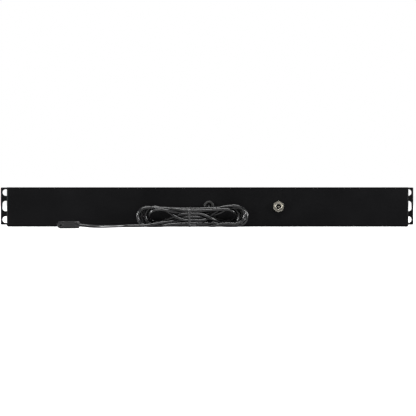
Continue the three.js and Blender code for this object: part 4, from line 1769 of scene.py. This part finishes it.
# ---- Fans ----------------------------------------------------------------------------------------
@dataclass
class Fan:
    """A 40 mm axial fan: a square duct with spokes behind, and a cup with swept blades."""

    number: int
    corner: float = 3 * MM
    bore: float = 18.6 * MM
    mouth: float = 0.8 * MM
    flange: float = 3.6 * MM
    notch: float = 5.2 * MM
    hole: float = 1.75 * MM
    hole_shift: float = 16 * MM
    spoke: tuple[float, float] = (2.2 * MM, 2.5 * MM)
    spokes: int = 4
    motor: float = 9.2 * MM
    bearing: float = 3.0 * MM
    hub: float = 9.5 * MM
    wall: float = 1.6 * MM
    round_over: float = 1.4 * MM
    shaft: float = 1.2 * MM
    tip: float = 18.0 * MM
    blades: int = 7
    chord: float = 16.5 * MM
    blade: float = 0.9 * MM
    camber: float = 48.0  # degrees
    pitch: float = 43.0
    wash_out: float = 14.0  # how much flatter the tip is than the root

    @property
    def hub_point(self) -> Vector:
        """The middle of the duct's front face."""
        low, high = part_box(f"fan_{self.number}_frame")
        return Vector(((low.x + high.x) / 2, low.y, (low.z + high.z) / 2))

    def build(self) -> None:
        """Makes the duct and the impeller."""
        frame_piece = self._duct()
        frame_piece.data.transform(Matrix.Translation(self.hub_point))
        dress(frame_piece, Finish.FAN, CASING, [f"fan_{self.number}_frame"])
        rotor = self._impeller()
        rotor.data.transform(Matrix.Translation(self.hub_point))
        node = f"fan_{self.number}_rotor"
        dress(rotor, Finish.FAN, node, [node])

    def _duct(self) -> bpy.types.Object:
        """Returns the duct about the origin.

        Returns:
            The duct.
        """
        low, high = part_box(f"fan_{self.number}_frame")
        half, depth = (high.x - low.x) / 2, high.y - low.y
        corners = (-half, 0, -half), (half, depth, half)
        duct = rounded_block(f"fan_{self.number}_duct", *corners, Axis.Y, self.corner)
        cutters = [rod("bore", (0, depth / 2, 0), self.bore, 2 * depth, sides=64)]
        for x in (-1, 1):
            for z in (-1, 1):
                ends = sorted((x * (half + MM), x * (half - self.notch)))
                sides = sorted((z * (half + MM), z * (half - self.notch)))
                cutters.append(
                    rounded_block(
                        "notch",
                        (ends[0], self.flange, sides[0]),
                        (ends[1], depth - self.flange, sides[1]),
                        Axis.Y,
                        MM,
                        3,
                    )
                )
        carve(duct, cutters)
        holes = [
            rod("hole", (x * self.hole_shift, depth / 2, z * self.hole_shift), self.hole, 2 * depth, sides=20)
            for x in (-1, 1)
            for z in (-1, 1)
        ]
        carve(duct, holes)
        mouth = (0, self.mouth / 2 - 0.01 * MM, 0)
        wide, narrow = self.bore + self.mouth, self.bore * 0.999
        carve(duct, [rod("mouth", mouth, wide, self.mouth, sides=64, end_radius=narrow)])
        carve(duct, self._spokes(depth), "UNION")
        carve(duct, [self._motor_seat(depth)], "UNION")
        return soften(duct, 0.18 * MM)

    def _spokes(self, depth: float) -> list[bpy.types.Object]:
        """Returns the spokes, one turned and copied.

        Args:
            depth: the fan's depth.

        Returns:
            The spokes.
        """
        width, thick = self.spoke
        low = (self.motor * 0.6, depth - thick, -width / 2)
        high = (self.bore + 0.5 * MM, depth, width / 2)
        spoke = block("spoke", low, high)
        made = [spoke]
        for number in range(1, self.spokes):
            turn = Matrix.Rotation(math.tau * number / self.spokes, 4, "Y")
            made.append(copied(spoke, "spoke", turn))
        return made

    def _motor_seat(self, depth: float) -> bpy.types.Object:
        """Returns the round plate behind the motor with the tube of its bearing.

        Args:
            depth: the fan's depth.

        Returns:
            The seat.
        """
        thick, bore = self.spoke[1], self.shaft + 0.3 * MM
        profile = [
            (bore, 5 * MM),
            (self.bearing, 5 * MM),
            (self.bearing, depth - thick),
            (self.motor, depth - thick),
            (self.motor, depth - 0.4 * MM),
            (self.motor - 0.4 * MM, depth),
            (self.motor * 0.55, depth),
            (self.motor * 0.5, depth - 0.3 * MM),
            (bore, depth - 0.3 * MM),
        ]
        return lathe("motor_seat", profile, Vector(), 48)

    def _impeller(self) -> bpy.types.Object:
        """Returns the cup, its shaft and its blades about the origin.

        Returns:
            The impeller.
        """
        low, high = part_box(f"fan_{self.number}_rotor")
        front = low.y - self.hub_point.y
        back = front + 15.1 * MM
        inner, curve = self.hub - self.wall, self.round_over
        profile = [(0, front + 0.5 * MM), (1.6 * MM, front + 0.5 * MM), (2.1 * MM, front + 0.05 * MM)]
        profile.append((self.hub - curve - 0.4 * MM, front))
        for step in range(6):
            angle = math.pi / 2 * step / 5
            profile.append((self.hub - curve * (1 - math.sin(angle)), front + curve * (1 - math.cos(angle))))
        profile += [
            (self.hub, back),
            (inner, back),
            (inner, front + self.wall + 0.8 * MM),
            (inner - 0.8 * MM, front + self.wall),
            (self.shaft, front + self.wall),
            (self.shaft, high.y - self.hub_point.y - 0.3 * MM),
            (self.shaft * 0.7, high.y - self.hub_point.y),
            (0, high.y - self.hub_point.y),
        ]
        cup = smooth(lathe(f"fan_{self.number}_impeller", profile, Vector(), 56, closed=False))
        return join([cup, self._blades((front + back) / 2)], f"fan_{self.number}_impeller")

    def _blades(self, middle: float) -> bpy.types.Object:
        """Returns the blades, cut round at their tips.

        Args:
            middle: where the middle of their chord is along Y.

        Returns:
            The blades.
        """
        root = self.hub - 0.6 * MM
        reach = self.tip - root + MM
        half = self.chord / 2
        blade = block("blade", (-half, -self.blade / 2, 0), (half, self.blade / 2, reach))
        with editing(blade):
            bpy.ops.mesh.select_all(action="SELECT")
            bpy.ops.mesh.subdivide(number_cuts=9)
        for method, angle in (("BEND", self.camber), ("TWIST", self.wash_out)):
            settings = {"deform_method": method, "deform_axis": "Z", "angle": math.radians(angle)}
            modify(blade, "SIMPLE_DEFORM", **settings)
        blade.data.transform(
            Matrix.Translation((0, middle, root)) @ Matrix.Rotation(math.radians(self.pitch), 4, "Z")
        )
        made = [blade]
        for number in range(1, self.blades):
            turn = Matrix.Rotation(math.tau * number / self.blades, 4, "Y")
            made.append(copied(blade, "blade", turn))
        blades = join(made, "blades")
        carve(blades, [rod("tips", (0, middle, 0), self.tip, 14.7 * MM, sides=72)], "INTERSECT")
        return smooth(blades, 40)


# ---- Display and controls ------------------------------------------------------------------------
@dataclass
class Display:
    """The smoked window and the three-digit display behind it."""

    corner: float = 1.5 * MM
    flange: float = 1.4 * MM
    flange_depth: float = 1.0 * MM
    digits: int = 3
    digit_pitch: float = 8.6 * MM
    digit_width: float = 5.2 * MM
    digit_height: float = 9.4 * MM
    bar: float = 0.95 * MM
    bar_proud: float = 0.08 * MM
    slant: float = 0.09

    def build(self) -> None:
        """Makes the window, the display's body and its unlit segments."""
        dress(self._lens(), Finish.WINDOW, CASING, ["display_window"])
        low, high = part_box("display_module")
        face = rounded_block("display_case", low, high, Axis.Y, 0.6 * MM, 4)
        rim, sink = 0.8 * MM, 0.25 * MM
        near = (low.x + rim, low.y - MM, low.z + rim)
        far = (high.x - rim, low.y + sink, high.z - rim)
        carve(face, [block("recess", near, far)])
        dress(soften(face, 0.12 * MM), Finish.COMPONENT, CASING, ["display_module"])
        dress(self._segments(low.y + 0.25 * MM), Finish.SEGMENT)

    def _lens(self) -> bpy.types.Object:
        """Returns the window with its flange behind the panel.

        Returns:
            The window.
        """
        low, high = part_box("display_window")
        step = high.y - self.flange_depth
        lens = rounded_block(
            "smoked_window",
            (low.x + self.flange, low.y, low.z + self.flange),
            (high.x - self.flange, step + 0.3 * MM, high.z - self.flange),
            Axis.Y,
            self.corner,
        )
        rim = rounded_block("rim", (low.x, step, low.z), high, Axis.Y, self.corner + self.flange)
        carve(lens, [rim], "UNION")
        return soften(lens, 0.22 * MM, 3)

    def _segments(self, face: float) -> bpy.types.Object:
        """Returns every segment and point of the digits, as bars with mitred ends.

        Args:
            face: where the display's face is along Y.

        Returns:
            The segments, as one object.
        """
        half, tall = (self.digit_width - self.bar) / 2, (self.digit_height - self.bar) / 2
        level = [(0, tall), (0, 0), (0, -tall)]
        upright = [(side * half, rise * tall / 2) for side in (-1, 1) for rise in (-1, 1)]
        made = []
        for index in range(self.digits):
            x = (index - (self.digits - 1) / 2) * self.digit_pitch
            for across, rise in level:
                made.append(self._bar(x + across, rise, 2 * half - 0.3 * MM, Axis.X, face))
            for across, rise in upright:
                made.append(self._bar(x + across, rise, tall - 0.3 * MM, Axis.Z, face))
            spot = (x + self.digit_width * 0.72, face, MIDDLE - tall)
            dot = rod("point", spot, self.bar * 0.55, self.bar_proud * 2, sides=20)
            made.append(dot)
        bars = join(made, "display_segments")
        slope = Matrix.Identity(4)
        slope[0][2] = self.slant
        bars.data.transform(Matrix.Translation((0, 0, MIDDLE)) @ slope @ Matrix.Translation((0, 0, -MIDDLE)))
        return smooth(bars)

    def _bar(self, x: float, rise: float, length: float, axis: Axis, face: float) -> bpy.types.Object:
        """Returns one segment.

        Args:
            x: its middle along X.
            rise: its height over the middle.
            length: its length.
            axis: the axis that it lies along.
            face: where the display's face is along Y.

        Returns:
            The bar.
        """
        size = (length, self.bar) if axis is Axis.X else (self.bar, length)
        low = (x - size[0] / 2, face - self.bar_proud, MIDDLE + rise - size[1] / 2)
        high = (x + size[0] / 2, face + 0.05 * MM, MIDDLE + rise + size[1] / 2)
        bar = block("bar", low, high)
        return round_edges(bar, self.bar * 0.42, 1, along(Axis.Y))


@dataclass
class Buttons:
    """The round push buttons, each with a dished cap, a flange behind the panel and a stem."""

    radius: float = 3 * MM
    dish: float = 0.35 * MM
    flange: float = 1.1 * MM
    flange_depth: float = 1.0 * MM
    stem: float = 1.4 * MM

    def build(self) -> None:
        """Makes the buttons."""
        for number in range(1, BUTTONS + 1):
            node = f"button_{number}"
            low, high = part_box(node)
            hub = Vector(((low.x + high.x) / 2, low.y, (low.z + high.z) / 2))
            behind, end = PANEL_HIGH.y + 0.3 * MM - low.y, high.y - low.y
            profile = [(self.radius * 0.8 * step / 5, self.dish * (1 - (step / 5) ** 2)) for step in range(6)]
            for step in range(5):
                angle = math.pi / 2 * step / 4
                profile.append(
                    (self.radius - 0.4 * MM * (1 - math.sin(angle)), 0.4 * MM * (1 - math.cos(angle)))
                )
            profile += [
                (self.radius, behind),
                (self.radius + self.flange, behind),
                (self.radius + self.flange, behind + self.flange_depth),
                (self.stem, behind + self.flange_depth),
                (self.stem, end - 0.2 * MM),
                (self.stem - 0.2 * MM, end),
                (0, end),
            ]
            cap = smooth(lathe(f"{node}_cap", profile, hub, 48, closed=False))
            dress(cap, Finish.BUTTON, node, [node])


# ---- Inlet and lead entry ------------------------------------------------------------------------
@dataclass
class PowerInlet:
    """The round low-voltage inlet: a threaded bush, its nut, an insulating cup and a pin."""

    bush: float = 4 * MM
    thread: float = 0.5 * MM
    thread_depth: float = 0.2 * MM
    socket: float = 2.8 * MM
    liner: float = 0.3 * MM
    body: float = 5.5 * MM
    pin: float = 1.05 * MM
    tip: float = 0.35 * MM
    flats: float = 11 * MM
    turn: float = 8.0

    def build(self) -> None:
        """Makes the four pieces."""
        dress(self._bush(), Finish.NICKEL, CASING, ["power_inlet_body"])
        dress(self._liner(), Finish.COMPONENT)
        dress(self._pin(), Finish.NICKEL, CASING, ["power_inlet_pin"])
        dress(self._nut(), Finish.NICKEL, CASING, ["power_inlet_nut"])

    @property
    def hub(self) -> Vector:
        """A point on the inlet's axis, at the outside of the rear wall."""
        place = centre("power_inlet_nut")
        return Vector((place.x, WALL, place.z))

    def _bush(self) -> bpy.types.Object:
        """Returns the body with its thread and its socket.

        Returns:
            The bush.
        """
        low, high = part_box("power_inlet_body")
        start, end = low.y - WALL, high.y - WALL
        depth, inside = end - 9 * MM, -SHEET - 0.3 * MM
        profile = [
            (0, start),
            (self.body - 0.4 * MM, start),
            (self.body, start + 0.4 * MM),
            (self.body, inside),
            (self.bush - self.thread_depth, inside),
        ]
        y = inside + self.thread
        while y < end - self.thread:
            profile += [(self.bush, y), (self.bush - self.thread_depth, y + self.thread / 2)]
            y += self.thread
        profile += [
            (self.bush - self.thread_depth, end - 0.25 * MM),
            (self.bush - 0.45 * MM, end),
            (self.socket + 0.25 * MM, end),
            (self.socket, end - 0.25 * MM),
            (self.socket, depth),
            (0, depth),
        ]
        return smooth(lathe("inlet_bush", profile, self.hub, 64, closed=False), 30)

    def _liner(self) -> bpy.types.Object:
        """Returns the insulating cup in the socket.

        Returns:
            The liner.
        """
        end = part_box("power_inlet_body")[1].y - WALL
        profile = [
            (self.socket - 0.02 * MM, end - 0.7 * MM),
            (self.socket - 0.02 * MM, end - 8.95 * MM),
            (self.pin + 0.05 * MM, end - 8.95 * MM),
            (self.pin + 0.05 * MM, end - 8.2 * MM),
            (self.socket - self.liner, end - 8.2 * MM),
            (self.socket - self.liner, end - 0.7 * MM),
        ]
        return smooth(lathe("inlet_insulator", profile, self.hub, 48))

    def _pin(self) -> bpy.types.Object:
        """Returns the pin, rounded at its tip.

        Returns:
            The pin.
        """
        low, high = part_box("power_inlet_pin")
        start, end = low.y - WALL, high.y - WALL
        profile = [(0, start), (self.pin, start)]
        for step in range(7):
            angle = math.pi / 2 * step / 6
            profile.append((self.pin * math.cos(angle), end - self.tip * (1 - math.sin(angle))))
        return smooth(lathe("inlet_pin", profile, self.hub, 32, closed=False))

    def _nut(self) -> bpy.types.Object:
        """Returns the nut, chamfered outside and in its bore.

        Returns:
            The nut.
        """
        low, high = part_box("power_inlet_nut")
        corner, middle, thick = self.flats / math.sqrt(3), (low.y + high.y) / 2, high.y - low.y
        nut = rod("inlet_nut", (0, middle, 0), corner, thick, sides=6)
        nut.data.transform(Matrix.Rotation(-math.radians(self.turn), 4, "Y"))
        place = Matrix.Translation((self.hub.x, 0, self.hub.z))
        nut.data.transform(place)
        shape = rod(
            "chamfer",
            (self.hub.x, middle, self.hub.z),
            corner + 0.75 * MM,
            thick + 0.02 * MM,
            sides=72,
            end_radius=corner - 0.62 * MM,
        )
        carve(nut, [shape], "INTERSECT")
        hole = (self.hub.x, middle, self.hub.z)
        carve(nut, [rod("bore", hole, self.bush + 0.12 * MM, 2 * thick, sides=64)])
        sink = (self.hub.x, high.y - 0.2 * MM, self.hub.z)
        carve(
            nut,
            [rod("sink", sink, self.bush + 0.1 * MM, 0.42 * MM, sides=64, end_radius=self.bush + 0.55 * MM)],
        )
        return soften(nut, 0.1 * MM, 2)


@dataclass
class LeadEntry:
    """The rubber grommet in the rear wall, and what holds the lead behind it."""

    bore: float = 2.9 * MM
    neck: float = 3.9 * MM
    radius: float = 5.5 * MM
    lip: float = 0.7 * MM
    steps: int = 6

    def build(self) -> None:
        """Makes the grommet and dresses the collar that stops the lead."""
        place = centre("cable_grommet")
        low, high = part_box("cable_grommet")
        hub = Vector((place.x, WALL, place.z))
        out, inside = high.y - WALL, low.y - WALL
        profile = [(self.bore, inside + 0.3 * MM), (self.bore + 0.3 * MM, inside)]
        profile += [(self.radius - 0.5 * MM, inside), (self.radius, -SHEET - 0.3 * MM)]
        profile += [(self.neck, -SHEET - 0.3 * MM), (self.neck, 0.3 * MM), (self.radius, 0.3 * MM)]
        for step in range(self.steps + 1):
            angle = math.pi / 2 * step / self.steps
            profile.append(
                (self.radius - self.lip * (1 - math.cos(angle)), out - self.lip * (1 - math.sin(angle)))
            )
        profile.append((self.bore + 0.9 * MM, out))
        for step in range(1, self.steps + 1):
            angle = math.pi / 2 * step / self.steps
            profile.append(
                (self.bore + 0.9 * MM * (1 - math.sin(angle)), out - 0.9 * MM * (1 - math.cos(angle)))
            )
        grommet = smooth(lathe("lead_grommet", profile, hub, 64), 45)
        dress(grommet, Finish.RUBBER, CASING, ["cable_grommet"])
        collar = refined("lead_stop_collar", "lead_clamp_collar")
        dress(soften(collar, 0.3 * MM, 3), Finish.COMPONENT, CASING, ["lead_stop_collar"])


# ---- Board and wiring ----------------------------------------------------------------------------
def refined(node: str, name: str, rounder: int = 0) -> bpy.types.Object:
    """Returns a merged copy of a CAD node's mesh.

    Args:
        node: the CAD node.
        name: the copy's name.
        rounder: levels of subdivision, for a tube.

    Returns:
        The copy.
    """
    piece = copied(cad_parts[node], name, Matrix.Identity(4))
    piece.hide_render = False
    with editing(piece):
        bpy.ops.mesh.select_all(action="SELECT")
        bpy.ops.mesh.remove_doubles(threshold=1e-6)
        bpy.ops.mesh.dissolve_limited(angle_limit=math.radians(1))
    if rounder:
        modify(piece, "SUBSURF", levels=rounder, render_levels=rounder)
    return smooth(piece, 60 if rounder else 32)


@dataclass
class Electronics:
    """The board with its pillars, screws, switches and terminals, and the wires inside."""

    poles: int = 12
    pole_pitch: float = 5.08 * MM
    well: float = 1.9 * MM
    entry: tuple[float, float] = (3.2 * MM, 2.6 * MM)

    def build(self) -> None:
        """Makes the terminals and the wires, and dresses the rest."""
        dress_node("control_board", Finish.BOARD)
        for number in range(1, 5):
            dress_node(f"standoff_{number}", Finish.NICKEL)
            dress_node(f"board_screw_{number}", Finish.ZINC_SCREW)
        for number in range(1, BUTTONS + 1):
            dress_node(f"switch_{number}", Finish.COMPONENT)
        dress(self._terminals(), Finish.TERMINAL, CASING, ["terminal_strip"])
        for node in ("lead_inside", "power_lead", "fan_harness_1", "fan_harness_2"):
            dress(refined(node, f"{node}_wire", 1), Finish.SHEATH, CASING, [node])

    def _terminals(self) -> bpy.types.Object:
        """Returns the strip with a screw well and a wire entry for each pole.

        Returns:
            The terminal strip.
        """
        low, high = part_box("terminal_strip")
        strip = block("terminal_block", low, high)
        middle = (low + high) / 2
        wells, entries = [], []
        for index in range(self.poles):
            x = middle.x + (index - (self.poles - 1) / 2) * self.pole_pitch
            wells.append(rod("well", (x, middle.y, high.z), self.well, 3 * MM, Axis.Z, 20))
            width, height = self.entry
            entries.append(
                block(
                    "entry",
                    (x - width / 2, high.y - 2.5 * MM, middle.z - height - 0.4 * MM),
                    (x + width / 2, high.y + MM, middle.z - 0.4 * MM),
                )
            )
        carve(strip, wells + entries)
        return soften(strip, 0.2 * MM)


# ---- The whole unit ------------------------------------------------------------------------------
def main() -> None:
    """Builds the studio, the lead and then the unit from the outside in."""
    logging.basicConfig(level=logging.INFO, format="%(message)s")
    bpy.ops.object.select_all(action="DESELECT")
    Studio().build()
    ProbeLead(HankRoute()).build()
    FrontPanel().build()
    Case().build()
    Fasteners().build()
    for number in range(1, FANS + 1):
        Fan(number).build()
    Display().build()
    Buttons().build()
    PowerInlet().build()
    LeadEntry().build()
    Electronics().build()


if __name__ == "__main__":
    main()
